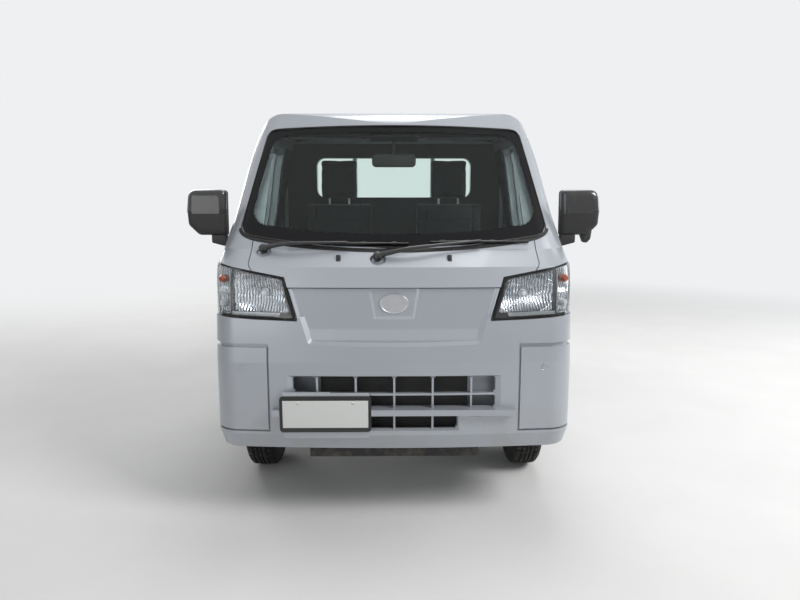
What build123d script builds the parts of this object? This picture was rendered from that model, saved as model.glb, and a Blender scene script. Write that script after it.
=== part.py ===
"""A full-cab kei truck: a cab over the front axle, a ladder frame and a drop-side load bed.

Millimetres. +X is the truck's left, +Y runs to its rear and +Z is up. The origin is on the ground,
midway along the length and on the centre plane. Places along the truck are given as a distance
behind the foremost point, and at() turns such a distance into Y.
"""
import os
from math import atan2, cos, degrees, hypot, radians, sin

from build123d import *

os.makedirs("parts", exist_ok=True)

# Overall sizes
LENGTH = 3395.0
WIDTH = 1475.0
WHEELBASE = 1900.0
FRONT_OVERHANG = 700.0
FRONT_TRACK = 1305.0
REAR_TRACK = 1300.0
HALF_WIDTH = WIDTH / 2
FRONT = -LENGTH / 2

# Cab
CAB_LENGTH = 1330.0
SILL_HEIGHT = 330.0
PANEL_TOP = 1001.0
CREASE_HEIGHT = 1080.0
COWL_HEIGHT = 1145.0
COWL_NOSE = 148.0
SCREEN_LEAN = 0.755
ROOF_HEIGHT = 1774.0
ROOF_HALF_WIDTH = 547.0
CAB_WALL = 55.0
SKIN = 25.0
GLASS_INSET = 3.0
GLASS = 5.0
GLASS_LAP = 14.0
SHUT_GAP = 5.0
SEAM = 0.4


def at(distance):
    """Y of a place that lies this far behind the foremost point."""
    return FRONT + distance


FRONT_AXLE = at(FRONT_OVERHANG)
REAR_AXLE = FRONT_AXLE + WHEELBASE


def save(piece, name):
    """Label a finished piece and write it."""
    piece.part.label = name
    export_step(piece.part, f"parts/{name}.step")


def side_prism(points, inner=-1000.0, outer=1000.0):
    """A side-view outline of (distance, height) points, as a prism between two X planes."""
    with BuildPart() as prism:
        with BuildSketch(Plane.YZ.offset(inner)):
            with BuildLine():
                Polyline(*[(at(distance), height) for distance, height in points], close=True)
            make_face()
        extrude(amount=outer - inner)
    return prism.part


def front_prism(points, nearest, farthest):
    """A front-view outline of (x, height) points, as a prism between two distances."""
    with BuildPart() as prism:
        with BuildSketch(Plane.XZ.offset(-at(farthest))):
            with BuildLine():
                Polyline(*points, close=True)
            make_face()
        extrude(amount=farthest - nearest)
    return prism.part


def box_between(x, distance, height):
    """A plain box from (low, high) pairs of x, distance and height."""
    with BuildPart() as block:
        with Locations((sum(x) / 2, at(sum(distance) / 2), sum(height) / 2)):
            Box(x[1] - x[0], distance[1] - distance[0], height[1] - height[0])
    return block.part


def rod_along_x(radius, distance, height, x):
    """A round bar across the truck between two X places."""
    with BuildPart() as rod:
        with BuildSketch(Plane.YZ.offset(x[0])):
            with Locations((at(distance), height)):
                Circle(radius)
        extrude(amount=x[1] - x[0])
    return rod.part


def upright_rod(radius, x, distance, height):
    """An upright round bar between two heights."""
    with BuildPart() as rod:
        with BuildSketch(Plane.XY.offset(height[0])):
            with Locations((x, at(distance))):
                Circle(radius)
        extrude(amount=height[1] - height[0])
    return rod.part


def upright_wedge(points, low, high):
    """A plan-view outline of (x, distance) points between two heights."""
    with BuildPart() as wedge:
        with BuildSketch(Plane.XY.offset(low)):
            with BuildLine():
                Polyline(*[(x, at(distance)) for x, distance in points], close=True)
            make_face()
        extrude(amount=high - low)
    return wedge.part


def combined(base, cuts=(), keep=(), extra=()):
    """A base with others joined on, limited to what lies in each keep and cut by each cut."""
    with BuildPart() as piece:
        add(base)
        for other in extra:
            add(other)
        for other in keep:
            add(other, mode=Mode.INTERSECT)
        for other in cuts:
            add(other, mode=Mode.SUBTRACT)
    return piece


def mirrored(solid):
    """The same shape on the other side of the centre plane."""
    with BuildPart() as twin:
        mirror(solid, about=Plane.YZ)
    return twin.part


def both_sides(solid):
    """A shape and its mirror twin, as one piece."""
    with BuildPart() as pair:
        add(solid)
        mirror(solid, about=Plane.YZ)
    return pair


def plan_outline(height, half_width, nose, crown, corner, tail):
    """A cab's level section: a crowned front with rounded corners, and a flat back."""
    corner_y = at(nose + crown)
    with BuildSketch(Plane.XY.offset(height)) as outline:
        with BuildLine():
            ThreePointArc((-half_width, corner_y), (0, at(nose)), (half_width, corner_y))
            Polyline(
                (half_width, corner_y),
                (half_width, at(tail)),
                (-half_width, at(tail)),
                (-half_width, corner_y),
            )
        make_face()
        fillet(outline.vertices().group_by(Axis.Y)[0], corner)
    return outline.sketch


# Level sections of the cab. Columns: height, how much narrower than the truck on each side,
# nose (its middle, behind the foremost point), crown (how far its corners fall back), corner radius.
LOWER_SECTIONS = (
    (SILL_HEIGHT, 10.0, 40.0, 36.0, 105.0),
    (640.0, 0.0, 28.0, 36.0, 115.0),
    (PANEL_TOP, 0.0, 46.0, 38.0, 120.0),
    (CREASE_HEIGHT, 0.0, 68.0, 42.0, 130.0),
    (COWL_HEIGHT, 8.5, COWL_NOSE, 55.0, 125.0),
)
# The glasshouse leans back with the windscreen. Columns: height, narrower by, crown, corner radius.
UPPER_SECTIONS = (
    (COWL_HEIGHT, 8.5, 55.0, 125.0),
    (1269.0, 34.5, 55.0, 118.0),
    (1533.0, 71.5, 55.0, 104.0),
    (1640.0, 97.5, 55.0, 92.0),
    (1830.0, 156.0, 55.0, 75.0),
)


def cab_solid(inset):
    """The cab's outer form, or the same form drawn in by an inset all over."""
    tail = CAB_LENGTH - inset
    slant = inset * hypot(1.0, SCREEN_LEAN)
    with BuildPart() as lower_form:
        for z, narrow, nose, crown, corner in LOWER_SECTIONS:
            forward = slant if z == COWL_HEIGHT else inset
            add(plan_outline(z, HALF_WIDTH - narrow - inset, nose + forward, crown, corner - inset, tail))
        loft(ruled=True)
    with BuildPart() as upper_form:
        for z, narrow, crown, corner in UPPER_SECTIONS:
            nose = COWL_NOSE + (z - COWL_HEIGHT) * SCREEN_LEAN + slant
            add(plan_outline(z, HALF_WIDTH - narrow - inset, nose, crown, corner - inset, tail))
        loft(ruled=True)
        # The roof from the side: header, crown and rear edge
        with BuildSketch(Plane.YZ):
            with BuildLine():
                Polyline(
                    (at(1200), 1771 - inset),
                    (at(1600), 1720 - inset),
                    (at(1600), 0),
                    (at(-300), 0),
                    (at(-300), 1640 - inset),
                    (at(520 + slant), 1640 - inset),
                    (at(559 + slant), 1690 - inset),
                )
                ThreePointArc(
                    (at(559 + slant), 1690 - inset),
                    (at(608 + slant), 1733 - inset),
                    (at(684 + slant), 1757 - inset),
                )
                ThreePointArc(
                    (at(684 + slant), 1757 - inset),
                    (at(900 + slant), ROOF_HEIGHT - inset),
                    (at(1200), 1771 - inset),
                )
            make_face()
        extrude(amount=1000, both=True, mode=Mode.INTERSECT)
        # The roof from the front: rounded cant rails and a crowned top
        with BuildSketch(Plane.XZ):
            rail = ROOF_HALF_WIDTH - inset / 2
            with BuildLine():
                Polyline((652 - inset, 1640), (700 - inset, 1540), (900, 1500), (900, 0), (0, 0))
                ThreePointArc(
                    (652 - inset, 1640),
                    (613 - inset * 0.8, 1708 - inset * 0.6),
                    (rail, 1747 - inset),
                )
                ThreePointArc((rail, 1747 - inset), (rail / 2, 1772 - inset), (0, 1780 - inset))
                Line((0, 1780 - inset), (0, 0))
            make_face()
            mirror(about=Plane.YZ)
        extrude(amount=3000, both=True, mode=Mode.INTERSECT)
    with BuildPart() as whole:
        add(lower_form.part)
        add(upper_form.part)
    return whole.part



outer_form = cab_solid(0)
glass_face = cab_solid(GLASS_INSET)
glass_back = cab_solid(GLASS_INSET + GLASS)
skin_form = cab_solid(SKIN)
inner_form = cab_solid(CAB_WALL)

# Front wheel houses: a drum-shaped space over each front wheel
ARCH_RADIUS = 345.0
ARCH_HEIGHT = 285.0
ARCH_FLANGE = 22.0
wheel_space = rod_along_x(ARCH_RADIUS, FRONT_OVERHANG, ARCH_HEIGHT, (-1000, 1000))
arch_flange = rod_along_x(ARCH_RADIUS + ARCH_FLANGE, FRONT_OVERHANG, ARCH_HEIGHT, (-1000, 1000))
door_arch = rod_along_x(ARCH_RADIUS + ARCH_FLANGE + SHUT_GAP, FRONT_OVERHANG, ARCH_HEIGHT, (-1000, 1000))

# Where the panels of the cab meet
WING_REAR = 245.0
PANEL_LOW = 762.0
CORNER_TOP = 884.0
PANEL_GAP = 3.5
WING_TOP = 1215.0
HOOD_HALF_WIDTH = 585.0
BACK_FRONT = CAB_LENGTH - CAB_WALL
BACK_HALF_WIDTH = 620.0
BACK_TOP = 1672.0
ROOF_EDGE = 590.0
ROOF_SEAM_HEIGHT = 1600.0
DOOR_REAR = 1085.0
DOOR_BOTTOM = 378.0
DOOR_STEP = 640.0
DOOR_TOP = 1652.0
PILLAR_LEAN = 0.755
DOOR_FRONT_EDGE = (
    (WING_REAR, DOOR_BOTTOM),
    (WING_REAR, 1060.0),
    (WING_REAR + 17, 1150.0),
    (296.0, 1229.0),
    (296.0 + (DOOR_TOP - 1229.0) * PILLAR_LEAN, DOOR_TOP),
)


def door_prism(shrink):
    """The door seen from the side, drawn in all round by a shut gap, carried right across."""
    with BuildPart() as prism:
        with BuildSketch(Plane.YZ.offset(-1000)) as outline:
            with BuildLine():
                Polyline(
                    *[(at(distance), height) for distance, height in DOOR_FRONT_EDGE],
                    (at(DOOR_REAR), DOOR_TOP),
                    (at(DOOR_REAR), DOOR_STEP),
                    (at(FRONT_OVERHANG), DOOR_STEP),
                    (at(FRONT_OVERHANG), DOOR_BOTTOM),
                    close=True,
                )
            make_face()
            fillet(outline.vertices().group_by(Axis.Y)[-1], 40)
            if shrink:
                offset(amount=-shrink, kind=Kind.INTERSECTION)
        extrude(amount=2000)
    return prism.part


door_hole = door_prism(0)
door_zone = door_prism(SHUT_GAP)

# Windscreen opening, as seen from the front: a bottom edge that rises to both corners
SCREEN_BOTTOM = 1152.0
SCREEN_CORNER_BOTTOM = 1204.0
SCREEN_TOP = 1686.0
SCREEN_CORNER_TOP = 1668.0
SCREEN_HALF_BOTTOM = 655.0
SCREEN_HALF_TOP = 583.0


def screen_prism(shrink):
    """The windscreen's outline, drawn in all round, carried back through the header."""
    with BuildPart() as prism:
        with BuildSketch(Plane.XZ.offset(-at(720))) as outline:
            with BuildLine():
                ThreePointArc(
                    (-SCREEN_HALF_BOTTOM, SCREEN_CORNER_BOTTOM),
                    (0, SCREEN_BOTTOM),
                    (SCREEN_HALF_BOTTOM, SCREEN_CORNER_BOTTOM),
                )
                Line((SCREEN_HALF_BOTTOM, SCREEN_CORNER_BOTTOM), (SCREEN_HALF_TOP, SCREEN_CORNER_TOP))
                ThreePointArc(
                    (SCREEN_HALF_TOP, SCREEN_CORNER_TOP),
                    (0, SCREEN_TOP),
                    (-SCREEN_HALF_TOP, SCREEN_CORNER_TOP),
                )
                Line((-SCREEN_HALF_TOP, SCREEN_CORNER_TOP), (-SCREEN_HALF_BOTTOM, SCREEN_CORNER_BOTTOM))
            make_face()
            fillet(outline.vertices().group_by(Axis.Y)[0], 60)
            fillet(outline.vertices().group_by(Axis.Y)[-1], 45)
            if shrink:
                offset(amount=-shrink, kind=Kind.INTERSECTION)
        extrude(amount=720)
    return prism.part


# Rear window
REAR_GLASS_HALF_WIDTH = 462.0
REAR_GLASS_BOTTOM = 1353.0
REAR_GLASS_TOP = 1606.0


def rear_window_prism(shrink, nearest, farthest):
    """The rear window's outline, drawn in all round, between two distances."""
    with BuildPart() as prism:
        with BuildSketch(Plane.XZ.offset(-at(farthest))):
            with Locations((0, (REAR_GLASS_BOTTOM + REAR_GLASS_TOP) / 2)):
                RectangleRounded(
                    2 * (REAR_GLASS_HALF_WIDTH - shrink),
                    REAR_GLASS_TOP - REAR_GLASS_BOTTOM - 2 * shrink,
                    60 - shrink,
                )
        extrude(amount=farthest - nearest)
    return prism.part


screen_hole = screen_prism(GLASS_LAP)
screen_rebate = combined(outer_form, cuts=[glass_back], keep=[screen_prism(0)]).part
rear_hole = rear_window_prism(GLASS_LAP, 1200, 1400)
rear_rebate = rear_window_prism(0, CAB_LENGTH - GLASS_INSET - GLASS, 1400)
walls = combined(
    outer_form,
    cuts=[inner_form, screen_hole, screen_rebate, rear_hole, rear_rebate, wheel_space],
).part

# Glass: one sheet bonded into the rebate of each opening
windscreen = combined(glass_face, cuts=[glass_back], keep=[screen_prism(2)]).part
rear_glass = rear_window_prism(
    2, CAB_LENGTH - GLASS_INSET - GLASS, CAB_LENGTH - GLASS_INSET
)
save(combined(windscreen, extra=[rear_glass]), "fixed_glass")

# Back panel, and roof with its pressed beads
back_zone = box_between((-BACK_HALF_WIDTH, BACK_HALF_WIDTH), (BACK_FRONT, 1400), (600, BACK_TOP))
BEAD_DEPTH = 5.0
with BuildPart() as back_pressings:
    with BuildSketch(Plane.XZ.offset(-at(CAB_LENGTH + 10))):
        with Locations((0, (REAR_GLASS_BOTTOM + REAR_GLASS_TOP) / 2)):
            RectangleRounded(1010, REAR_GLASS_TOP - REAR_GLASS_BOTTOM + 84, 85)
        for height in (1240, 1150, 1060, 970, 880, 790):
            with Locations((0, height)):
                SlotOverall(1080, 46)
    extrude(amount=10 + BEAD_DEPTH)
cab_back = combined(walls, keep=[back_zone], cuts=[back_pressings.part])
save(cab_back, "cab_back")

roof_zone = box_between((-ROOF_EDGE, ROOF_EDGE), (400, 1400), (ROOF_SEAM_HEIGHT, 2000))
back_hole = box_between(
    (-BACK_HALF_WIDTH - SEAM, BACK_HALF_WIDTH + SEAM), (BACK_FRONT - SEAM, 1400), (0, BACK_TOP + SEAM)
)
bead_skin = combined(outer_form, cuts=[cab_solid(BEAD_DEPTH)]).part
ROOF_BEADS = (-435.0, -261.0, -87.0, 87.0, 261.0, 435.0)
roof_beads = [
    combined(bead_skin, keep=[box_between((x - 38, x + 38), (800, 1250), (1700, 1800))]).part
    for x in ROOF_BEADS
]
roof = combined(walls, keep=[roof_zone], cuts=[back_hole, door_hole] + roof_beads)
save(roof, "roof")

# Body sides: pillars, cant rails, sills and arch flanges left round the doors
wing_hole = side_prism(
    [
        (-100, 0),
        (-100, WING_TOP),
        (DOOR_FRONT_EDGE[3][0] - 20 + SEAM, WING_TOP),
        (WING_REAR + 12 + SEAM, 1150),
        (WING_REAR + SEAM, 1060),
        (WING_REAR + SEAM, 0),
    ]
)
middle_hole = box_between((-ROOF_EDGE - SEAM, ROOF_EDGE + SEAM), (-100, 1400), (ROOF_SEAM_HEIGHT, 2000))
door_cut = combined(door_hole, cuts=[arch_flange]).part
side_shell = combined(walls, cuts=[door_cut, back_hole, middle_hole, wing_hole]).part

# Door hinges: pins at the outer skin in the gap ahead of each door, on leaves from a hinge pillar
DOOR_KNUCKLE = 4.0
DOOR_PIN = 2.2
DOOR_PIN_GAP = 0.3
HINGE_X = HALF_WIDTH - DOOR_KNUCKLE
HINGE_DISTANCE = WING_REAR
DOOR_HINGES = (700.0, 1000.0)
HINGE_SPAN = 38.0
HINGE_MIDDLE = 15.0
HEM = 4.0
hinge_pillar = combined(
    side_prism(
        [
            (195, 345),
            (195, 1130),
            (240, 1215),
            (300, 1290),
            (318, 1258),
            (296, 1229),
            (262, 1150),
            (WING_REAR + SEAM, 1060),
            (WING_REAR + SEAM, 345),
        ],
        HALF_WIDTH - CAB_WALL - 6,
        HALF_WIDTH,
    ),
    keep=[skin_form],
    cuts=[door_hole],
).part
with BuildPart() as body_hinge:
    for height in DOOR_HINGES:
        for low, high in (
            (height - HINGE_SPAN, height - HINGE_MIDDLE - 1),
            (height + HINGE_MIDDLE + 1, height + HINGE_SPAN),
        ):
            add(upright_rod(DOOR_KNUCKLE, HINGE_X, HINGE_DISTANCE, (low, high)))
            add(box_between((690, 711), (WING_REAR - 6, HINGE_DISTANCE + 3), (low, high)))
            add(box_between((700, HINGE_X), (WING_REAR + SEAM, HINGE_DISTANCE + 3), (low, high)))
        add(upright_rod(DOOR_PIN, HINGE_X, HINGE_DISTANCE, (height - HINGE_SPAN, height + HINGE_SPAN)))
with BuildPart() as door_knuckles:
    for height in DOOR_HINGES:
        span = (height - HINGE_MIDDLE, height + HINGE_MIDDLE)
        add(upright_rod(DOOR_KNUCKLE, HINGE_X, HINGE_DISTANCE, span))
        add(box_between((HINGE_X - 4, HINGE_X + 2), (HINGE_DISTANCE + 2, HINGE_DISTANCE + 14), span))
        add(upright_rod(DOOR_PIN + DOOR_PIN_GAP, HINGE_X, HINGE_DISTANCE, span), mode=Mode.SUBTRACT)
door_pockets = []
wing_pockets = []
for height in DOOR_HINGES:
    reach = (height - HINGE_SPAN - SHUT_GAP, height + HINGE_SPAN + SHUT_GAP)
    door_pockets.append(box_between((690, 745), (WING_REAR, WING_REAR + 8), reach))
    wing_pockets.append(box_between((HINGE_X - 6, 745), (WING_REAR - 8, WING_REAR + SEAM / 2), reach))
door_hem = upright_wedge(
    [
        (HALF_WIDTH - HEM, WING_REAR + SHUT_GAP),
        (HALF_WIDTH + 8, WING_REAR + SHUT_GAP),
        (HALF_WIDTH + 8, WING_REAR + SHUT_GAP + HEM + 8),
    ],
    300,
    1060,
)
wing_hem = upright_wedge(
    [
        (HALF_WIDTH - HEM, WING_REAR),
        (HALF_WIDTH + 8, WING_REAR),
        (HALF_WIDTH + 8, WING_REAR - HEM - 8),
    ],
    300,
    1060,
)
wing_rear_cuts = [both_sides(cut).part for cut in wing_pockets + [wing_hem]]
save(
    combined(side_shell, extra=[both_sides(hinge_pillar).part, both_sides(body_hinge.part).part]),
    "body_sides",
)

# Doors: the wall inside each door opening, with a window let in from the inside
WINDOW_BOTTOM = 1122.0
WINDOW_TOP = DOOR_TOP - 38
WINDOW_MARGIN = 46.0
WINDOW_FRONT = 372.0
DOOR_GLASS_INSET = 16.0
DOOR_GLASS = 4.0


def window_prism(shrink):
    """The door window seen from the side, drawn in all round, for the left door."""
    head = DOOR_FRONT_EDGE[3][0] + (WINDOW_TOP - 1229.0) * PILLAR_LEAN + WINDOW_MARGIN + 22
    knee = WINDOW_TOP - (head - WINDOW_FRONT) / PILLAR_LEAN
    with BuildPart() as prism:
        with BuildSketch(Plane.YZ.offset(560)) as outline:
            with BuildLine():
                Polyline(
                    (at(WINDOW_FRONT), WINDOW_BOTTOM),
                    (at(WINDOW_FRONT), knee),
                    (at(head), WINDOW_TOP),
                    (at(DOOR_REAR - WINDOW_MARGIN), WINDOW_TOP),
                    (at(DOOR_REAR - WINDOW_MARGIN), WINDOW_BOTTOM + 12),
                    close=True,
                )
            make_face()
            fillet(outline.vertices(), 32)
            if shrink:
                offset(amount=-shrink, kind=Kind.INTERSECTION)
        extrude(amount=300)
    return prism.part


ARCH_SWING = 24.0
REAR_SWING = 10.0
door_arch_step = combined(
    rod_along_x(ARCH_RADIUS + ARCH_FLANGE + ARCH_SWING, FRONT_OVERHANG, ARCH_HEIGHT, (600, HALF_WIDTH - 8)),
    keep=[box_between((600, 800), (WING_REAR, FRONT_OVERHANG), (300, DOOR_STEP))],
).part
door_side = box_between((560, 900), (0, 1400), (300, 1700))
glass_outside = cab_solid(DOOR_GLASS_INSET)
glass_inside = cab_solid(DOOR_GLASS_INSET + DOOR_GLASS)
door_rear_step = combined(
    glass_outside,
    keep=[box_between((560, 900), (DOOR_REAR - SHUT_GAP - REAR_SWING, DOOR_REAR), (DOOR_STEP, DOOR_TOP))],
).part
window_rebate = combined(glass_outside, keep=[window_prism(0)]).part
left_door = combined(
    outer_form,
    cuts=[inner_form, door_arch, door_arch_step, door_rear_step, door_hem]
    + [window_prism(GLASS_LAP), window_rebate]
    + door_pockets,
    keep=[door_zone, door_side],
).part
HANDLE = (992.0, 965.0)
with BuildPart() as handle_pocket:
    with BuildSketch(Plane.YZ.offset(HALF_WIDTH - 16)):
        with Locations((at(HANDLE[0]), HANDLE[1])):
            RectangleRounded(126, 66, 18)
    extrude(amount=40, taper=-20)
left_door = combined(left_door, extra=[door_knuckles.part], cuts=[handle_pocket.part]).part
left_door_glass = combined(glass_outside, cuts=[glass_inside], keep=[window_prism(2)]).part
save(combined(left_door), "door_left")
save(combined(mirrored(left_door)), "door_right")
save(combined(left_door_glass), "door_glass_left")
save(combined(mirrored(left_door_glass)), "door_glass_right")

# Front panels: hood lid under the windscreen, panel between the lamps, and wings
skin = combined(outer_form, cuts=[skin_form, screen_hole, screen_rebate]).part
hood_zone = front_prism(
    [
        (-HOOD_HALF_WIDTH + 60, PANEL_TOP),
        (HOOD_HALF_WIDTH - 60, PANEL_TOP),
        (HOOD_HALF_WIDTH, CREASE_HEIGHT + 10),
        (HOOD_HALF_WIDTH, 1250),
        (-HOOD_HALF_WIDTH, 1250),
        (-HOOD_HALF_WIDTH, CREASE_HEIGHT + 10),
    ],
    -10,
    330,
)
hood_hole = front_prism(
    [
        (-HOOD_HALF_WIDTH + 60 - PANEL_GAP, PANEL_TOP - PANEL_GAP),
        (HOOD_HALF_WIDTH - 60 + PANEL_GAP, PANEL_TOP - PANEL_GAP),
        (HOOD_HALF_WIDTH + PANEL_GAP, CREASE_HEIGHT + 10),
        (HOOD_HALF_WIDTH + PANEL_GAP, 1251),
        (-HOOD_HALF_WIDTH - PANEL_GAP, 1251),
        (-HOOD_HALF_WIDTH - PANEL_GAP, CREASE_HEIGHT + 10),
    ],
    -11,
    331,
)
wing_zone = side_prism(
    [
        (-100, CORNER_TOP),
        (-100, WING_TOP - SEAM),
        (DOOR_FRONT_EDGE[3][0] - 20, WING_TOP - SEAM),
        (WING_REAR + 12, 1150),
        (WING_REAR, 1060),
        (WING_REAR, CORNER_TOP),
    ]
)

PANEL_HALF_TOP = 423.0
PANEL_HALF_BOTTOM = 384.0
PANEL_FOOT = 866.0
PANEL_TUCK = 400.0
LAMP_OUTLINE = (
    (437.0, 1041.0),
    (386.0, 876.0),
    (388.0, 866.0),
    (560.0, 872.0),
    (721.0, 883.0),
    (760.0, 884.0),
    (760.0, 1092.0),
    (714.0, 1091.0),
)
LAMP_DEPTH = 185.0
LAMP_THICKNESS = 60.0
lamp_hole = front_prism([(x, z) for x, z in LAMP_OUTLINE], -10, LAMP_DEPTH + 3)
lamp_holes = both_sides(lamp_hole).part
# Wiper pivots. Columns: x, height
PIVOTS = (
    (-535.0, 1136.0),
    (-65.0, 1108.0),
)
pivot_pockets = []
for x, height in PIVOTS:
    crown = 50.0 * (x / HALF_WIDTH) ** 2
    pivot_distance = 75 + (height - CREASE_HEIGHT) * 1.12 + crown
    with BuildPart() as pocket:
        with BuildSketch(Plane(origin=(x, at(pivot_distance - 5), height + 5), z_dir=(0, 1, -1))):
            Circle(36)
        extrude(amount=16, taper=35)
    pivot_pockets.append(pocket.part)
save(combined(skin, keep=[hood_zone, wing_zone], cuts=[lamp_holes] + pivot_pockets), "hood")
panel_zone = front_prism(
    [
        (-PANEL_TUCK, PANEL_LOW),
        (PANEL_TUCK, PANEL_LOW),
        (PANEL_TUCK, PANEL_FOOT - 1),
        (PANEL_HALF_BOTTOM, PANEL_FOOT),
        (PANEL_HALF_TOP, PANEL_TOP - PANEL_GAP),
        (-PANEL_HALF_TOP, PANEL_TOP - PANEL_GAP),
        (-PANEL_HALF_BOTTOM, PANEL_FOOT),
        (-PANEL_TUCK, PANEL_FOOT - 1),
    ],
    -10,
    240,
)
# The panel lies back behind a bevelled rim, and its foot slopes out. Columns: distance,
# half width at the foot, height of the foot, half width at the top, height of the top
PANEL_TRAY = (
    (6.0, 347.0, 628.0, 479.0, 1100.0),
    (76.0, 387.0, 967.0, 423.0, 1100.0),
)
PANEL_DEPTH = 10.0
with BuildPart() as panel_tray:
    for distance, low_half, low, high_half, high in PANEL_TRAY:
        with BuildSketch(Plane.XZ.offset(-at(distance))):
            with BuildLine():
                Polyline((-low_half, low), (low_half, low), (high_half, high), (-high_half, high), close=True)
            make_face()
    loft(ruled=True)
tray_cut = combined(panel_tray.part, cuts=[cab_solid(PANEL_DEPTH)]).part
with BuildPart() as badge_recess:
    with BuildSketch(Plane.XZ.offset(-at(70))):
        with Locations((0, 936)):
            RectangleRounded(186, 108, 22)
    extrude(amount=100, taper=-8)
badge_cut = combined(badge_recess.part, cuts=[cab_solid(PANEL_DEPTH + 4)]).part

# Bumper: a hollow moulding with corner boxes, a grille and a sill bar
# Columns: height, how much narrower, nose, crown, corner radius
BUMPER_SECTIONS = (
    (340.0, 16.0, 34.0, 36.0, 100.0),
    (402.0, 1.0, 16.0, 36.0, 105.0),
    (700.0, 0.0, 20.0, 36.0, 110.0),
    (CORNER_TOP + 4, 0.0, 38.0, 37.0, 115.0),
)
BUMPER_WALL = 20.0


def bumper_solid(inset):
    """The bumper's form, or the same form drawn in all over."""
    with BuildPart() as form:
        for z, narrow, nose, crown, corner in BUMPER_SECTIONS:
            add(
                plan_outline(
                    z, HALF_WIDTH - narrow - inset, nose + inset, crown, corner - inset, WING_REAR + 60
                )
            )
        loft(ruled=True)
    return form.part


bumper_form = bumper_solid(0)
bumper_inside = bumper_solid(BUMPER_WALL)
bumper_zone = side_prism(
    [
        (-100, 300),
        (-100, CORNER_TOP - SEAM),
        (WING_REAR, CORNER_TOP - SEAM),
        (WING_REAR, 300),
    ]
)
# The opening over the front panel, with a bevelled edge
RIM = (
    # distance, half width at the foot, height of the foot
    (6.0, 372.0, 746.0),
    (66.0, 312.0, 806.0),
)
with BuildPart() as panel_opening:
    for distance, half_width, low in RIM:
        high_half = half_width + 0.47 * (900.0 - low)
        with BuildSketch(Plane.XZ.offset(-at(distance))) as outline:
            with BuildLine():
                Polyline(
                    (-half_width, low), (half_width, low), (high_half, 900.0), (-high_half, 900.0), close=True
                )
            make_face()
            fillet(outline.vertices().group_by(Axis.Y)[0], 16)
    loft(ruled=True)

# Corner boxes that stand in a shallow field, with sloping tops
BOX_INNER = 511.0
BOX_LOW = 421.0
BOX_SHOULDER = 712.0
BOX_TOP = 760.0
FIELD_INNER = 503.0
FIELD_LOW = 413.0
FIELD_TOP = 776.0
FIELD_DEPTH = 12.0
BOX_SLOPE = FIELD_DEPTH / (BOX_TOP - BOX_SHOULDER)
corner_box = combined(
    bumper_form,
    keep=[
        box_between((BOX_INNER, 800), (-50, 400), (BOX_LOW, BOX_TOP)),
        side_prism(
            [
                (20.5 - BOX_SLOPE * 400, BOX_SHOULDER - 400),
                (20.5 + BOX_SLOPE * 100, BOX_SHOULDER + 100),
                (500, BOX_SHOULDER + 100),
                (500, BOX_SHOULDER - 400),
            ]
        ),
        front_prism(
            [
                (0, BOX_SHOULDER - 400),
                (HALF_WIDTH + BOX_SLOPE * 400, BOX_SHOULDER - 400),
                (HALF_WIDTH - BOX_SLOPE * 100, BOX_SHOULDER + 100),
                (0, BOX_SHOULDER + 100),
            ],
            -100,
            500,
        ),
    ],
).part
corner_field = combined(
    bumper_form,
    cuts=[bumper_solid(FIELD_DEPTH), corner_box],
    keep=[box_between((FIELD_INNER, 800), (-50, 400), (FIELD_LOW, FIELD_TOP))],
).part
corner_fields = both_sides(corner_field).part
GRILLE_ROWS = (
    # half width, low, high
    (405.0, 583.0, 639.0),
    (405.0, 517.0, 562.0),
    (250.0, 435.0, 481.0),
)
grille_holes = []
for half_width, low, high in GRILLE_ROWS:
    with BuildPart() as hole:
        with BuildSketch(Plane.XZ.offset(-at(60))):
            with Locations((0, (low + high) / 2)):
                RectangleRounded(2 * half_width, high - low, 9)
        extrude(amount=100, taper=-12)
    grille_holes.append(hole.part)
bumper_shell = combined(
    bumper_form,
    cuts=[bumper_inside, panel_opening.part, corner_fields, lamp_holes, both_sides(hinge_pillar).part]
    + grille_holes
    + wing_rear_cuts,
    keep=[bumper_zone],
).part
save(
    combined(
        skin,
        keep=[panel_zone],
        cuts=[tray_cut, badge_cut, bumper_shell, lamp_holes],
    ),
    "front_panel",
)

panel_hole = front_prism(
    [
        (-PANEL_TUCK, PANEL_LOW),
        (PANEL_TUCK, PANEL_LOW),
        (PANEL_TUCK, PANEL_FOOT - 1),
        (PANEL_HALF_BOTTOM + SEAM, PANEL_FOOT),
        (PANEL_HALF_TOP + SEAM, PANEL_TOP - PANEL_GAP),
        (PANEL_HALF_TOP + SEAM, PANEL_TOP + 1),
        (-PANEL_HALF_TOP - SEAM, PANEL_TOP + 1),
        (-PANEL_HALF_TOP - SEAM, PANEL_TOP - PANEL_GAP),
        (-PANEL_HALF_BOTTOM - SEAM, PANEL_FOOT),
        (-PANEL_TUCK, PANEL_FOOT - 1),
    ],
    -11,
    241,
)
front_wings = combined(skin, keep=[wing_zone], cuts=[hood_hole, panel_hole, lamp_holes] + wing_rear_cuts)
save(front_wings, "front_wings")

# Headlamps: closed cases that fill the openings between wing and panel
lamp_case = front_prism(
    [
        (439.0, 1038.0),
        (389.0, 878.5),
        (391.0, 869.0),
        (560.0, 875.0),
        (719.0, 886.0),
        (760.0, 887.0),
        (760.0, 1089.0),
        (714.0, 1088.0),
    ],
    -10,
    LAMP_DEPTH,
)
lamp_back = cab_solid(LAMP_THICKNESS)
lamp = combined(glass_face, keep=[lamp_case], cuts=[lamp_back]).part
save(both_sides(lamp), "headlamps")

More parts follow.
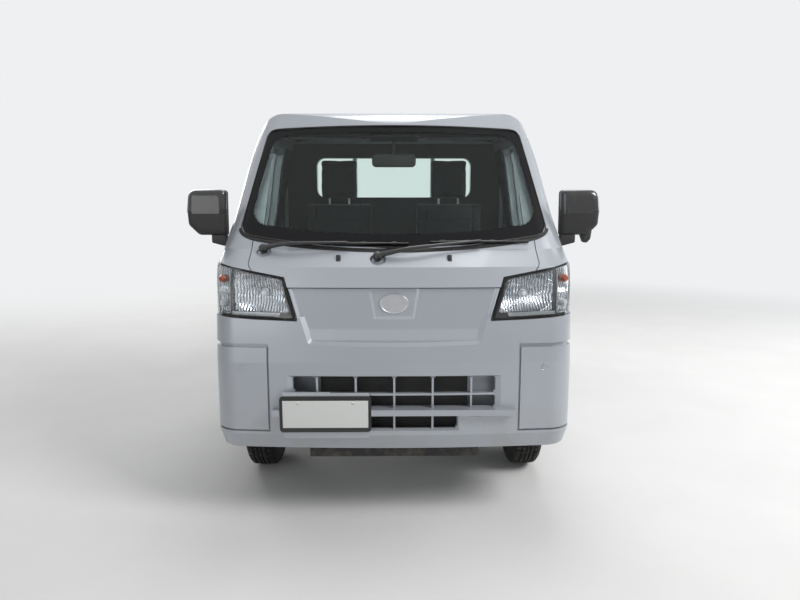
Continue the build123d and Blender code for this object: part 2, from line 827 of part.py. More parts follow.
# Grille bars, the sill bar and the mounting of the number plate
GRILLE_BARS = (-311.0, -156.0, 0.0, 156.0, 311.0)
bars = [
    box_between((x - 9, x + 9), (18, 66), (484, 650)) for x in GRILLE_BARS
]
bar_inside = bumper_solid(3)
bumper_bars = [combined(bar, keep=[bar_inside]).part for bar in bars]
sill_bar = box_between((-489, 489), (0, 60), (488, 513))
PLATE_X = (-460.0, -92.0)
PLATE_Z = (420.0, 569.0)
PLATE_FACE = 2.0
PEDESTAL_FACE = 12.0
pedestal = box_between((-450, -100), (PEDESTAL_FACE, 60), (398, 585))
with BuildPart() as bumper:
    add(bumper_shell)
    add(pedestal)
    for bar in bumper_bars:
        add(bar)
    add(sill_bar)
    add(box_between(PLATE_X, (-10, PEDESTAL_FACE), PLATE_Z), mode=Mode.SUBTRACT)
save(bumper, "bumper")

# Chassis frame: two box rails that kick up behind the cab, and cross members
RAIL_INNER = 300.0
RAIL_OUTER = 350.0
FRAME_FRONT = 68.0
FRAME_REAR = 3340.0
FLOOR_UNDER = 370.0
FRAME_LOW = 290.0
KICK_FRONT = 500.0
KICK_REAR = 900.0
BED_RAIL_TOP = 520.0
BED_RAIL_LOW = 430.0
CROSS_MEMBERS = (
    # distance, length along the truck, low, high
    (93.0, 50.0, FRAME_LOW, FLOOR_UNDER),
    (580.0, 50.0, 315.0, 385.0),
    (1230.0, 60.0, 440.0, 510.0),
    (1720.0, 60.0, 440.0, 510.0),
    (2190.0, 60.0, 440.0, 510.0),
    (3010.0, 60.0, 440.0, 510.0),
    (FRAME_REAR - 30.0, 60.0, BED_RAIL_LOW, BED_RAIL_TOP),
)
rail = side_prism(
    [
        (FRAME_FRONT, FRAME_LOW),
        (FRAME_FRONT, FLOOR_UNDER),
        (KICK_FRONT, FLOOR_UNDER),
        (KICK_REAR, BED_RAIL_TOP),
        (FRAME_REAR, BED_RAIL_TOP),
        (FRAME_REAR, BED_RAIL_LOW),
        (KICK_REAR + 30, BED_RAIL_LOW),
        (KICK_FRONT + 20, FRAME_LOW),
    ],
    RAIL_INNER,
    RAIL_OUTER,
)
bumper_horn = combined(
    box_between((RAIL_INNER, RAIL_OUTER), (0, FRAME_FRONT), (345, FLOOR_UNDER)),
    keep=[bumper_solid(BUMPER_WALL)],
).part

# Rear axle on leaf springs that hang from brackets under the rails
WHEEL_RADIUS = 268.0
AXLE_HEIGHT = WHEEL_RADIUS
AXLE_TUBE = 38.0
SPRING_X = (RAIL_INNER + RAIL_OUTER) / 2
SPRING_WIDTH = 50.0
LEAF = 8.0
EYE_RADIUS = 17.0
EYE_HEIGHT = 385.0
EYE_REACH = 450.0
BRACKET_CHEEK = 8.0
REAR_DISTANCE = FRONT_OVERHANG + WHEELBASE
spring_brackets = []
for eye in (REAR_DISTANCE - EYE_REACH, REAR_DISTANCE + EYE_REACH):
    for cheek in (SPRING_X - SPRING_WIDTH / 2 - BRACKET_CHEEK, SPRING_X + SPRING_WIDTH / 2):
        spring_brackets.append(
            box_between((cheek, cheek + BRACKET_CHEEK), (eye - 22, eye + 22), (EYE_HEIGHT - 22, BED_RAIL_LOW))
        )
    spring_brackets.append(
        box_between(
            (SPRING_X - SPRING_WIDTH / 2 - BRACKET_CHEEK, SPRING_X + SPRING_WIDTH / 2 + BRACKET_CHEEK),
            (eye - 22, eye + 22),
            (BED_RAIL_LOW - 8, BED_RAIL_LOW),
        )
    )
with BuildPart() as chassis_frame:
    add(rail)
    add(mirrored(rail))
    for distance, length, low, high in CROSS_MEMBERS:
        with Locations((0, at(distance), (low + high) / 2)):
            Box(2 * RAIL_INNER, length, high - low)
    for bracket in spring_brackets + [bumper_horn]:
        add(bracket)
        add(mirrored(bracket))
save(chassis_frame, "chassis_frame")

leaf_middle = AXLE_HEIGHT + AXLE_TUBE + 12
with BuildPart() as spring:
    for number, reach in enumerate((EYE_REACH, 330.0, 220.0)):
        drop = number * LEAF
        sag = (EYE_HEIGHT - leaf_middle - 2 * LEAF) * (reach / EYE_REACH) ** 2
        low = leaf_middle + (2 - number) * LEAF
        with BuildSketch(Plane.YZ.offset(SPRING_X - SPRING_WIDTH / 2)):
            with BuildLine():
                ThreePointArc(
                    (at(REAR_DISTANCE - reach), low + sag),
                    (at(REAR_DISTANCE), low),
                    (at(REAR_DISTANCE + reach), low + sag),
                )
                Line(
                    (at(REAR_DISTANCE + reach), low + sag),
                    (at(REAR_DISTANCE + reach), low + sag + LEAF),
                )
                ThreePointArc(
                    (at(REAR_DISTANCE + reach), low + sag + LEAF),
                    (at(REAR_DISTANCE), low + LEAF),
                    (at(REAR_DISTANCE - reach), low + sag + LEAF),
                )
                Line(
                    (at(REAR_DISTANCE - reach), low + sag + LEAF),
                    (at(REAR_DISTANCE - reach), low + sag),
                )
            make_face()
        extrude(amount=SPRING_WIDTH)
    for eye in (REAR_DISTANCE - EYE_REACH, REAR_DISTANCE + EYE_REACH):
        add(
            rod_along_x(
                EYE_RADIUS, eye, EYE_HEIGHT, (SPRING_X - SPRING_WIDTH / 2, SPRING_X + SPRING_WIDTH / 2)
            )
        )
    add(
        box_between(
            (SPRING_X - SPRING_WIDTH / 2, SPRING_X + SPRING_WIDTH / 2),
            (REAR_DISTANCE - 50, REAR_DISTANCE + 50),
            (AXLE_HEIGHT + AXLE_TUBE - 12, leaf_middle + 3 * LEAF + 6),
        )
    )
REAR_HALF_TRACK = REAR_TRACK / 2
FRONT_HALF_TRACK = FRONT_TRACK / 2
SPINDLE_RADIUS = 17.0
RUNNING_GAP = 0.3
BACKPLATE_FACE = 46.0
with BuildPart() as rear_axle:
    add(rod_along_x(AXLE_TUBE, REAR_DISTANCE, AXLE_HEIGHT, (-REAR_HALF_TRACK + 52, REAR_HALF_TRACK - 52)))
    for side in (-1, 1):
        inner = side * (REAR_HALF_TRACK - 52)
        outer = side * (REAR_HALF_TRACK - BACKPLATE_FACE)
        add(rod_along_x(98, REAR_DISTANCE, AXLE_HEIGHT, (min(inner, outer), max(inner, outer))))
        tip = side * (REAR_HALF_TRACK + 20)
        add(
            rod_along_x(
                SPINDLE_RADIUS, REAR_DISTANCE, AXLE_HEIGHT, (min(inner, tip), max(inner, tip))
            )
        )
    with Locations((0, REAR_AXLE, AXLE_HEIGHT)):
        Sphere(105)
    with BuildSketch(Plane.XZ.offset(-at(REAR_DISTANCE - 170))):
        with Locations((0, AXLE_HEIGHT)):
            Circle(42)
    extrude(amount=-120)
    add(spring.part)
    add(mirrored(spring.part))
save(rear_axle, "rear_axle")

# Wheels, drawn once about the Y axis line of a wheel at rest on the left, then set in place
# Rim outline in (outward, radius), outside then inside
RIM_OUTLINE = (
    (-55, 164), (-51, 168), (-48, 164), (-47, 152.4), (-26, 150.5), (-16, 130), (8, 130),
    (20, 150.5), (47, 152.4), (48, 164), (51, 168), (55, 164), (51, 160), (50, 148.4),
    (22, 146.5), (10, 126), (-18, 126), (-28, 146.5), (-50, 148.4), (-51, 160),
)
DISC_OUTLINE = (
    (7, 128), (24, 112), (40, 96), (44, 84), (42, 72), (36, 64), (36, 30),
    (32, 30), (32, 64), (38, 74), (40, 84), (36, 94), (21, 108), (2, 124), (2, 128),
)
HUB_FACE = 32.0
HUB_OUTLINE = (
    (-34, SPINDLE_RADIUS + RUNNING_GAP), (22, SPINDLE_RADIUS + RUNNING_GAP),
    (22, 0), (58, 0), (58, 22), (50, 28), (36, 29.5), (HUB_FACE, 29.5), (HUB_FACE, 66), (22, 66),
    (22, 36), (-34, 36),
)
FRONT_DISC_OUTLINE = ((-8, 30), (2, 30), (2, 104), (-8, 104))
REAR_DRUM_OUTLINE = ((-34, 30), (-40, 30), (-40, 100), (26, 100), (26, 40), (18, 40), (18, 92), (-34, 92))
TYRE_OUTLINE_HALF = (
    (46, 152.7), (46.6, 166), (58, 172), (70, 192), (72.5, 212), (70, 240), (64, 257), (55, 264),
)
TYRE_LINING_HALF = ((50, 250), (60, 236), (62, 212), (58, 190), (46, 176), (34, 166), (32, 152.7))
NUT_CIRCLE = 50.0


def turned(outline):
    """A ring turned about the wheel's own axle line, X, at the origin."""
    with BuildPart() as ring:
        with BuildSketch(Plane.XY):
            with BuildLine():
                Polyline(*outline, close=True)
            make_face()
        revolve(axis=Axis.X)
    return ring.part


def wheel_disc(brake_outline):
    """Rim, disc, hub and brake ring of one wheel, welded and bolted as one rigid piece."""
    with BuildPart() as wheel:
        add(turned(RIM_OUTLINE))
        add(turned(DISC_OUTLINE))
        add(turned(HUB_OUTLINE))
        add(turned(brake_outline))
        with BuildSketch(Plane.YZ.offset(-10)):
            with PolarLocations(101, 8, start_angle=22.5):
                Circle(8.5)
        extrude(amount=70, mode=Mode.SUBTRACT)
        with BuildSketch(Plane.YZ.offset(34)):
            with PolarLocations(NUT_CIRCLE, 4, start_angle=45):
                RegularPolygon(9.5, 6)
        extrude(amount=14)
    return wheel.part


with BuildPart() as tyre:
    with BuildSketch(Plane.XY):
        with BuildLine():
            right = list(TYRE_OUTLINE_HALF)
            lining = list(TYRE_LINING_HALF)
            Polyline(*right)
            ThreePointArc(right[-1], (0, WHEEL_RADIUS), (-right[-1][0], right[-1][1]))
            Polyline(*[(-a, r) for a, r in reversed(right)])
            Polyline(
                (-right[0][0], right[0][1]),
                *[(-a, r) for a, r in reversed(lining)],
            )
            Polyline((-lining[0][0], lining[0][1]), *lining, right[0])
        make_face()
    revolve(axis=Axis.X)

WHEELS = (
    # name, half track, distance, side, brake
    ("front_left", FRONT_HALF_TRACK, FRONT_OVERHANG, 1, FRONT_DISC_OUTLINE),
    ("front_right", FRONT_HALF_TRACK, FRONT_OVERHANG, -1, FRONT_DISC_OUTLINE),
    ("rear_left", REAR_HALF_TRACK, REAR_DISTANCE, 1, REAR_DRUM_OUTLINE),
    ("rear_right", REAR_HALF_TRACK, REAR_DISTANCE, -1, REAR_DRUM_OUTLINE),
)
for name, half_track, distance, side, brake in WHEELS:
    turn = 0 if side > 0 else 180
    place = Location((side * half_track, at(distance), AXLE_HEIGHT), (0, 0, turn))
    with BuildPart() as rim:
        add(wheel_disc(brake).moved(place))
    save(rim, f"rim_{name}")
    with BuildPart() as rubber:
        add(tyre.part.moved(place))
    save(rubber, f"tyre_{name}")

# Front knuckles with struts, which steer about a leaning line through ball joint and strut top
BALL_X = 590.0
BALL_HEIGHT = 180.0
STRUT_TOP_X = 520.0
STRUT_TOP = 640.0
KING_LEAN = degrees(atan2(BALL_X - STRUT_TOP_X, STRUT_TOP - BALL_HEIGHT))
KING_LENGTH = hypot(BALL_X - STRUT_TOP_X, STRUT_TOP - BALL_HEIGHT)
STUD_RADIUS = 9.0
king_plane = Plane(
    origin=(BALL_X, FRONT_AXLE, BALL_HEIGHT),
    x_dir=(cos(radians(KING_LEAN)), 0, sin(radians(KING_LEAN))),
    z_dir=(-sin(radians(KING_LEAN)), 0, cos(radians(KING_LEAN))),
)


def king_ring(outer, inner, start, end):
    """A round or hollow bar along the steering line, between two distances from the ball joint."""
    with BuildPart() as bar:
        with BuildSketch(king_plane.offset(start)):
            Circle(outer)
            if inner:
                Circle(inner, mode=Mode.SUBTRACT)
        extrude(amount=end - start)
    return bar.part


with BuildPart() as knuckle:
    add(king_ring(22, 0, 8, 34))
    add(king_ring(24, 0, 150, 370))
    add(king_ring(10, 0, 370, KING_LENGTH + 12))
    for turn in range(4):
        add(king_ring(44, 30, 372 + turn * 18, 382 + turn * 18))
    add(king_ring(33, 8, 370, 444))
    # Upright between the ball joint, the spindle and the strut clamp
    with BuildSketch(Plane.XZ.offset(-FRONT_AXLE - 26)):
        with BuildLine():
            Polyline(
                (600, 188), (612, 230), (606, 330), (590, 372), (545, 372), (548, 330), (572, 250),
                (572, 190), close=True,
            )
        make_face()
    extrude(amount=52)
    add(rod_along_x(SPINDLE_RADIUS, FRONT_OVERHANG, AXLE_HEIGHT, (585, FRONT_HALF_TRACK + 20)))
    add(rod_along_x(34, FRONT_OVERHANG, AXLE_HEIGHT, (585, FRONT_HALF_TRACK - 39.5)))
    add(king_ring(STUD_RADIUS + RUNNING_GAP, 0, -10, 30), mode=Mode.SUBTRACT)
left_knuckle = knuckle.part
save(combined(left_knuckle), "knuckle_left")
save(combined(mirrored(left_knuckle)), "knuckle_right")

# Lower arms, hung from the rails, with the ball joint studs
with BuildPart() as arm:
    with BuildSketch(Plane.XY.offset(165)):
        with BuildLine():
            Polyline(
                (RAIL_OUTER, at(590)), (RAIL_OUTER, at(640)), (560, at(722)), (606, at(722)),
                (606, at(678)), (560, at(678)), (RAIL_OUTER + 30, at(590)), close=True,
            )
        make_face()
    extrude(amount=18)
    add(box_between((RAIL_INNER, RAIL_OUTER + 30), (590, 640), (165, 330)))
    add(king_ring(STUD_RADIUS, 0, 0, 28))
    add(king_ring(20, 0, -14, 2))
save(both_sides(combined(arm.part, cuts=[rail]).part), "front_suspension")

# Power unit: engine block under the seats, gearbox behind it and the propeller shaft
GEARBOX_REAR = 1560.0
with BuildPart() as engine:
    add(box_between((-205, 205), (720, 1190), (300, 640)))
    add(box_between((-RAIL_INNER, RAIL_INNER), (930, 980), (440, 490)))
    add(box_between((-125, 125), (1190, GEARBOX_REAR), (320, 436)))
    with BuildSketch(Plane.XZ.offset(-at(GEARBOX_REAR))):
        with Locations((0, 378)):
            Circle(30)
    with BuildSketch(Plane.XZ.offset(-at(REAR_DISTANCE - 174))):
        with Locations((0, AXLE_HEIGHT)):
            Circle(30)
    loft(ruled=True)
save(engine, "engine_and_gearbox")

# Cooling, fuel and exhaust
with BuildPart() as radiator:
    add(box_between((-300, 300), (72, 112), (FLOOR_UNDER, 690)))
save(radiator, "radiator")

with BuildPart() as fuel_tank:
    with Locations((495, at(1850), 400)):
        Box(250, 480, 240)
    fillet(fuel_tank.edges().filter_by(Axis.Y), 30)
save(fuel_tank, "fuel_tank")

MUFFLER_X = -230.0
PIPE_RADIUS = 19.0
PIPE_LOW = 295.0
PIPE_HIGH = 364.0
with BuildPart() as exhaust:
    with BuildLine():
        FilletPolyline(
            (MUFFLER_X, at(1085), PIPE_LOW + 20), (MUFFLER_X, at(1200), PIPE_LOW),
            (MUFFLER_X, at(2330), PIPE_LOW), (MUFFLER_X, at(2460), PIPE_HIGH),
            (MUFFLER_X, at(3345), PIPE_HIGH),
            radius=50,
        )
    with BuildSketch(Plane(origin=(MUFFLER_X, at(1085), PIPE_LOW + 20), z_dir=(0, 115, -20))):
        Circle(PIPE_RADIUS)
    sweep()
    with BuildSketch(Plane.XZ.offset(-at(3275))):
        with Locations((MUFFLER_X, 358)):
            Ellipse(64, 55)
    extrude(amount=200)
    add(box_between((MUFFLER_X - 24, -205), (1058, 1092), (290, 342)))
    add(box_between((MUFFLER_X - 12, MUFFLER_X + 12), (3282, 3300), (370, BED_RAIL_LOW)))
save(exhaust, "exhaust")

# Cab floor: footwell, seat deck, wheel houses, front bulkhead and the shelves behind the skins
FLOOR_PLATE = 18.0
DECK_TOP = 690.0
RISER = 470.0
BULKHEAD = 135.0
BULKHEAD_PLATE = 10.0
HOUSE_INNER = 388.0
SHELL = 12.0
clear_form = cab_solid(CAB_WALL + 6)
bulkhead_form = cab_solid(LAMP_THICKNESS + 2)
house_drum = rod_along_x(ARCH_RADIUS + SHELL, FRONT_OVERHANG, ARCH_HEIGHT, (HOUSE_INNER, 720))
house_space = rod_along_x(ARCH_RADIUS, FRONT_OVERHANG, ARCH_HEIGHT, (HOUSE_INNER + SHELL, 1000))
inside_plates = [
    box_between((-720, 720), (BULKHEAD, RISER + 12), (FLOOR_UNDER, FLOOR_UNDER + FLOOR_PLATE)),
    box_between((-720, 720), (RISER, RISER + 12), (FLOOR_UNDER, DECK_TOP)),
    box_between((-720, 720), (RISER, BACK_FRONT), (DECK_TOP - FLOOR_PLATE, DECK_TOP)),
    combined(
        house_drum, keep=[box_between((300, 760), (300, 1100), (FLOOR_UNDER, DECK_TOP - FLOOR_PLATE))]
    ).part,
]
inside_plates.append(mirrored(inside_plates[-1]))
wide_plates = [
    box_between((-720, 720), (1096, BACK_FRONT), (DECK_TOP - FLOOR_PLATE, DECK_TOP)),
    box_between((500, 720), (250, 340), (345, FLOOR_UNDER)),
    box_between((-720, -500), (250, 340), (345, FLOOR_UNDER)),
]
rear_leg = box_between((-RAIL_OUTER, RAIL_OUTER), (1235, BACK_FRONT), (BED_RAIL_TOP, DECK_TOP - FLOOR_PLATE))
bulkhead = combined(
    box_between((-720, 720), (BULKHEAD, BULKHEAD + BULKHEAD_PLATE), (FLOOR_UNDER, 1100)),
    keep=[bulkhead_form],
).part
SHELVES = (
    # half width, rear, low, high
    (700.0, BULKHEAD + 4, 800.0, 812.0),
    (420.0, BULKHEAD + 4, 1006.0, 1018.0),
    (650.0, 236.0, 1078.0, 1088.0),
)
lamp_keep_out = both_sides(front_prism([(x, z) for x, z in LAMP_OUTLINE], -10, 245)).part
shelves = [
    combined(
        box_between((-half, half), (0, rear), (low, high)), keep=[skin_form], cuts=[lamp_keep_out]
    ).part
    for half, rear, low, high in SHELVES
]
with BuildPart() as inside_group:
    for plate in inside_plates:
        add(plate)
    add(clear_form, mode=Mode.INTERSECT)
with BuildPart() as wide_group:
    for plate in wide_plates:
        add(plate)
    add(inner_form, mode=Mode.INTERSECT)
with BuildPart() as cab_floor:
    add(inside_group.part)
    add(wide_group.part)
    add(rear_leg)
    add(bulkhead)
    for shelf in shelves:
        add(shelf)
    add(house_space, mode=Mode.SUBTRACT)
    add(mirrored(house_space), mode=Mode.SUBTRACT)
    for side in (-1, 1):
        with BuildSketch(
            Plane(
                origin=(side * STRUT_TOP_X, FRONT_AXLE, STRUT_TOP),
                z_dir=(-side * sin(radians(KING_LEAN)), 0, cos(radians(KING_LEAN))),
            )
        ):
            Circle(10 + RUNNING_GAP)
        extrude(amount=40, both=True, mode=Mode.SUBTRACT)
save(cab_floor, "cab_floor")

# Load bed: a ribbed floor on cross sills with side rails
BED_FRONT = 1425.0
BED_INNER_REAR = BED_FRONT + 1937.0
BED_FLOOR = 650.0
BED_HALF_WIDTH = 702.0
SIDE_RAIL_OUTER = 722.0
SIDE_RAIL_TOP = 640.0
SILL_LOW = BED_RAIL_TOP
RAIL_LOW = 575.0
BED_SILLS = (1440.0, 1650.0, 2120.0, 2300.0, 2900.0, 3080.0, 3300.0)
GROOVE_PITCH = 140.0
GROOVE_WIDTH = 58.0
GROOVE_DEPTH = 6.0
with BuildPart() as bed_floor:
    add(box_between((-BED_HALF_WIDTH, BED_HALF_WIDTH), (BED_FRONT, BED_INNER_REAR), (632, BED_FLOOR)))
    for number in range(10):
        middle = (number - 4.5) * GROOVE_PITCH
        with BuildSketch(Plane.XZ.offset(-at(BED_INNER_REAR - 30))):
            with BuildLine():
                Polyline(
                    (middle - GROOVE_WIDTH / 2, BED_FLOOR),
                    (middle - GROOVE_WIDTH / 2 + 6, BED_FLOOR - GROOVE_DEPTH),
                    (middle + GROOVE_WIDTH / 2 - 6, BED_FLOOR - GROOVE_DEPTH),
                    (middle + GROOVE_WIDTH / 2, BED_FLOOR),
                    close=True,
                )
            make_face()
        extrude(amount=BED_INNER_REAR - BED_FRONT - 60, mode=Mode.SUBTRACT)
    for side in (-1, 1):
        low, high = sorted((side * 672, side * SIDE_RAIL_OUTER))
        add(box_between((low, high), (1395, BED_INNER_REAR), (RAIL_LOW, SIDE_RAIL_TOP)))
    for distance in BED_SILLS:
        add(box_between((-672, 672), (distance - 25, distance + 25), (SILL_LOW, 632)))
    add(box_between((-SIDE_RAIL_OUTER, SIDE_RAIL_OUTER), (3335, BED_INNER_REAR), (560, SIDE_RAIL_TOP)))

# Gates that fold down about pins along their lower edges
GATE_TOP = BED_FLOOR + 285.0
GATE = 22.0
GATE_FOOT = 651.0
PIN_HEIGHT = 641.0
PIN_RADIUS = 3.5
KNUCKLE_RADIUS = 6.0
PIN_X = HALF_WIDTH - KNUCKLE_RADIUS
GATE_FACE = BED_HALF_WIDTH + 5
GATE_FRONT = 1400.0
GATE_REAR = 3386.0
HINGE_PLACES = (1500.0, 2120.0, 2740.0, 3300.0)
HINGE_LENGTH = 46.0


def gate_hinge(gate_side):
    """Hinge leaves at every place along a side gate: the gate's middle part or the rail's ends."""
    with BuildPart() as leaves:
        for place in HINGE_PLACES:
            if gate_side:
                spans = [(place - HINGE_LENGTH / 2, place + HINGE_LENGTH / 2)]
            else:
                spans = [
                    (place - HINGE_LENGTH / 2 - 21, place - HINGE_LENGTH / 2 - 1),
                    (place + HINGE_LENGTH / 2 + 1, place + HINGE_LENGTH / 2 + 21),
                ]
            for start, end in spans:
                with BuildSketch(Plane.XZ.offset(-at(end))):
                    with Locations((PIN_X, PIN_HEIGHT)):
                        Circle(KNUCKLE_RADIUS)
                    if gate_side:
                        with Locations((PIN_X - 3, PIN_HEIGHT + 7)):
                            Rectangle(6, 14)
                        with Locations((PIN_X, PIN_HEIGHT)):
                            Circle(PIN_RADIUS + RUNNING_GAP, mode=Mode.SUBTRACT)
                    else:
                        with Locations(((PIN_X + SIDE_RAIL_OUTER - 1) / 2, PIN_HEIGHT - 4)):
                            Rectangle(PIN_X - SIDE_RAIL_OUTER + 1, 4)
                extrude(amount=end - start)
            if not gate_side:
                with BuildSketch(Plane.XZ.offset(-at(place + HINGE_LENGTH / 2 + 2))):
                    with Locations((PIN_X, PIN_HEIGHT)):
                        Circle(PIN_RADIUS)
                extrude(amount=HINGE_LENGTH + 4)
    return leaves.part


PRESSING = 5.0
PRESSING_LOW = 690.0
PRESSING_HIGH = 897.0
PRESSING_GAP = 46.0
GATE_PRESSINGS = 5
TAIL_PRESSINGS = 4
with BuildPart() as gate_left:
    add(box_between((GATE_FACE, GATE_FACE + GATE), (GATE_FRONT, GATE_REAR), (GATE_FOOT, GATE_TOP)))
    pressing = (GATE_REAR - GATE_FRONT - PRESSING_GAP * (GATE_PRESSINGS + 1)) / GATE_PRESSINGS
    for number in range(GATE_PRESSINGS):
        middle = GATE_FRONT + PRESSING_GAP + number * (pressing + PRESSING_GAP) + pressing / 2
        with BuildSketch(Plane.YZ.offset(GATE_FACE + GATE - PRESSING)):
            with Locations((at(middle), (PRESSING_LOW + PRESSING_HIGH) / 2)):
                Rectangle(pressing, PRESSING_HIGH - PRESSING_LOW)
        extrude(amount=PRESSING + 2, taper=-45, mode=Mode.SUBTRACT)
    add(gate_hinge(True))
save(gate_left, "gate_left")
save(combined(mirrored(gate_left.part)), "gate_right")

TAIL_KNUCKLE = 5.0
TAIL_PIN_RADIUS = 3.0
TAIL_PIN = LENGTH - TAIL_KNUCKLE
TAIL_FRONT = BED_INNER_REAR + 5
TAIL_GATE = 18.0
TAIL_HINGES = (-520.0, 0.0, 520.0)
with BuildPart() as tailgate:
    add(
        box_between(
            (-BED_HALF_WIDTH, BED_HALF_WIDTH), (TAIL_FRONT, TAIL_FRONT + TAIL_GATE), (GATE_FOOT, GATE_TOP)
        )
    )
    pressing = (2 * BED_HALF_WIDTH - PRESSING_GAP * (TAIL_PRESSINGS + 1)) / TAIL_PRESSINGS
    for number in range(TAIL_PRESSINGS):
        middle = -BED_HALF_WIDTH + PRESSING_GAP + number * (pressing + PRESSING_GAP) + pressing / 2
        with BuildSketch(Plane.XZ.offset(-at(TAIL_FRONT + TAIL_GATE + 2))):
            with Locations((middle, (PRESSING_LOW + PRESSING_HIGH) / 2)):
                Rectangle(pressing + 14, PRESSING_HIGH - PRESSING_LOW + 14)
        extrude(amount=PRESSING + 2, taper=45, mode=Mode.SUBTRACT)
    for x in TAIL_HINGES:
        add(rod_along_x(TAIL_KNUCKLE, TAIL_PIN, PIN_HEIGHT, (x - 25, x + 25)))
        add(box_between((x - 25, x + 25), (TAIL_PIN - 7, TAIL_PIN - 1), (PIN_HEIGHT, GATE_FOOT + 6)))
        add(
            rod_along_x(TAIL_PIN_RADIUS + RUNNING_GAP, TAIL_PIN, PIN_HEIGHT, (x - 30, x + 30)),
            mode=Mode.SUBTRACT,
        )
save(tailgate, "tailgate")

with BuildPart() as whole_bed:
    add(bed_floor.part)
    add(gate_hinge(False))
    add(mirrored(gate_hinge(False)))
    for x in TAIL_HINGES:
        for low, high in ((x - 48, x - 26), (x + 26, x + 48)):
            add(rod_along_x(TAIL_KNUCKLE, TAIL_PIN, PIN_HEIGHT, (low, high)))
            add(box_between((low, high), (BED_INNER_REAR - 2, TAIL_PIN), (PIN_HEIGHT - 5, PIN_HEIGHT - 1)))
        add(rod_along_x(TAIL_PIN_RADIUS, TAIL_PIN, PIN_HEIGHT, (x - 48, x + 48)))
save(whole_bed, "bed_floor")

# Headboard with the guard frame behind the rear window
GUARD_TOP = 1640.0
GUARD_HALF = 600.0
POST_RADIUS = 14.0
BAR_RADIUS = 12.0
HEADBOARD_FRONT = 1395.0
GUARD_DISTANCE = (HEADBOARD_FRONT + BED_FRONT) / 2
with BuildPart() as headboard:
    add(
        box_between(
            (-BED_HALF_WIDTH, BED_HALF_WIDTH), (HEADBOARD_FRONT, BED_FRONT), (SIDE_RAIL_TOP, GATE_TOP)
        )
    )
    for x in (-GUARD_HALF, -234, 234, GUARD_HALF):
        with BuildSketch(Plane.XY.offset(GATE_TOP - 40)):
            with Locations((x, at(GUARD_DISTANCE))):
                Circle(POST_RADIUS)
        extrude(amount=GUARD_TOP - GATE_TOP + 40)
    add(rod_along_x(BAR_RADIUS, GUARD_DISTANCE, GUARD_TOP, (-GUARD_HALF, GUARD_HALF)))
    add(rod_along_x(BAR_RADIUS, GUARD_DISTANCE, 1300, (-GUARD_HALF, GUARD_HALF)))
save(headboard, "headboard")

# Plates and rear lamps
front_plate = box_between(PLATE_X, (PLATE_FACE, PEDESTAL_FACE), PLATE_Z)
rear_plate = box_between((-165, 165), (3346, 3350), (392, 557))
rear_plate_bracket = box_between((-60, 60), (FRAME_REAR, 3346), (470, 560))
with BuildPart() as number_plates:
    add(front_plate)
    add(rear_plate)
    add(rear_plate_bracket)
save(number_plates, "number_plates")

with BuildPart() as tail_lamp:
    with Locations((590, at(3360), 515)):
        Box(200, 46, 90)
    fillet(tail_lamp.edges().filter_by(Axis.Y), 14)
    add(box_between((560, 620), (3338, 3360), (540, 560)))
save(both_sides(tail_lamp.part), "tail_lamps")


def bar_between(start, end, radius):
    """A round bar between two (x, distance, height) places."""
    foot = Vector(start[0], at(start[1]), start[2])
    head = Vector(end[0], at(end[1]), end[2])
    with BuildPart() as bar:
        with BuildSketch(Plane(origin=foot, z_dir=head - foot)):
            Circle(radius)
        extrude(amount=(head - foot).length)
    return bar.part


# Dashboard with the steering column, gear lever and pedals
COLUMN_X = -320.0
WHEEL_CENTRE = (COLUMN_X, 575.0, 1035.0)
COLUMN_RISE = 50.0
steering_plane = Plane(
    origin=(COLUMN_X, at(WHEEL_CENTRE[1]), WHEEL_CENTRE[2]),
    x_dir=(1, 0, 0),
    z_dir=(0, cos(radians(COLUMN_RISE)), sin(radians(COLUMN_RISE))),
)
SHAFT_RADIUS = 9.0


def column_piece(outer, start, end):
    """A round length of the steering column, measured along it from the wheel's centre."""
    with BuildPart() as piece:
        with BuildSketch(steering_plane.offset(start)):
            Circle(outer)
        extrude(amount=end - start)
    return piece.part


DASH_FRONT = BULKHEAD + BULKHEAD_PLATE
dash_body = combined(
    side_prism(
        [
            (DASH_FRONT, 790), (DASH_FRONT, 1096), (200, 1118), (300, 1126), (400, 1112), (462, 1060),
            (474, 980), (440, 880), (330, 800),
        ],
        -652,
        652,
    ),
    keep=[clear_form],
    cuts=[cab_floor.part],
).part
with BuildPart() as dashboard:
    add(dash_body)
    add(column_piece(36, -290, -42))
    add(column_piece(14, -640, -280))
    for x in (-380.0, -262.0):
        add(
            side_prism(
                [(290, 820), (312, 820), (300, 560), (316, 500), (296, 495), (278, 560)], x - 6, x + 6
            )
        )
        add(side_prism([(318, 556), (326, 552), (308, 486), (300, 490)], x - 32, x + 32))
    add(bar_between((-95, 440, 960), (-95, 530, 1010), 8))
    add(bar_between((-95, 522, 1005), (-95, 545, 1018), 22))
    add(column_piece(SHAFT_RADIUS + RUNNING_GAP, -80, 20), mode=Mode.SUBTRACT)
save(dashboard, "dashboard")

STEERING_RADIUS = 183.0
STEERING_TUBE = 14.0
with BuildPart() as steering_wheel:
    with BuildSketch(Plane(origin=steering_plane.origin, x_dir=(1, 0, 0), z_dir=steering_plane.y_dir * -1)):
        with Locations((STEERING_RADIUS, 0)):
            Circle(STEERING_TUBE)
    revolve(axis=Axis(steering_plane.origin, steering_plane.z_dir))
    add(column_piece(58, -34, 12))
    add(column_piece(SHAFT_RADIUS, -76, -30))
    for turn in (0, 180, 270):
        with BuildSketch(steering_plane.offset(-8)):
            with Locations(Rotation(0, 0, turn)):
                with Locations((STEERING_RADIUS / 2 + 12, 0)):
                    Rectangle(STEERING_RADIUS - 26, 34)
        extrude(amount=12)
save(steering_wheel, "steering_wheel")

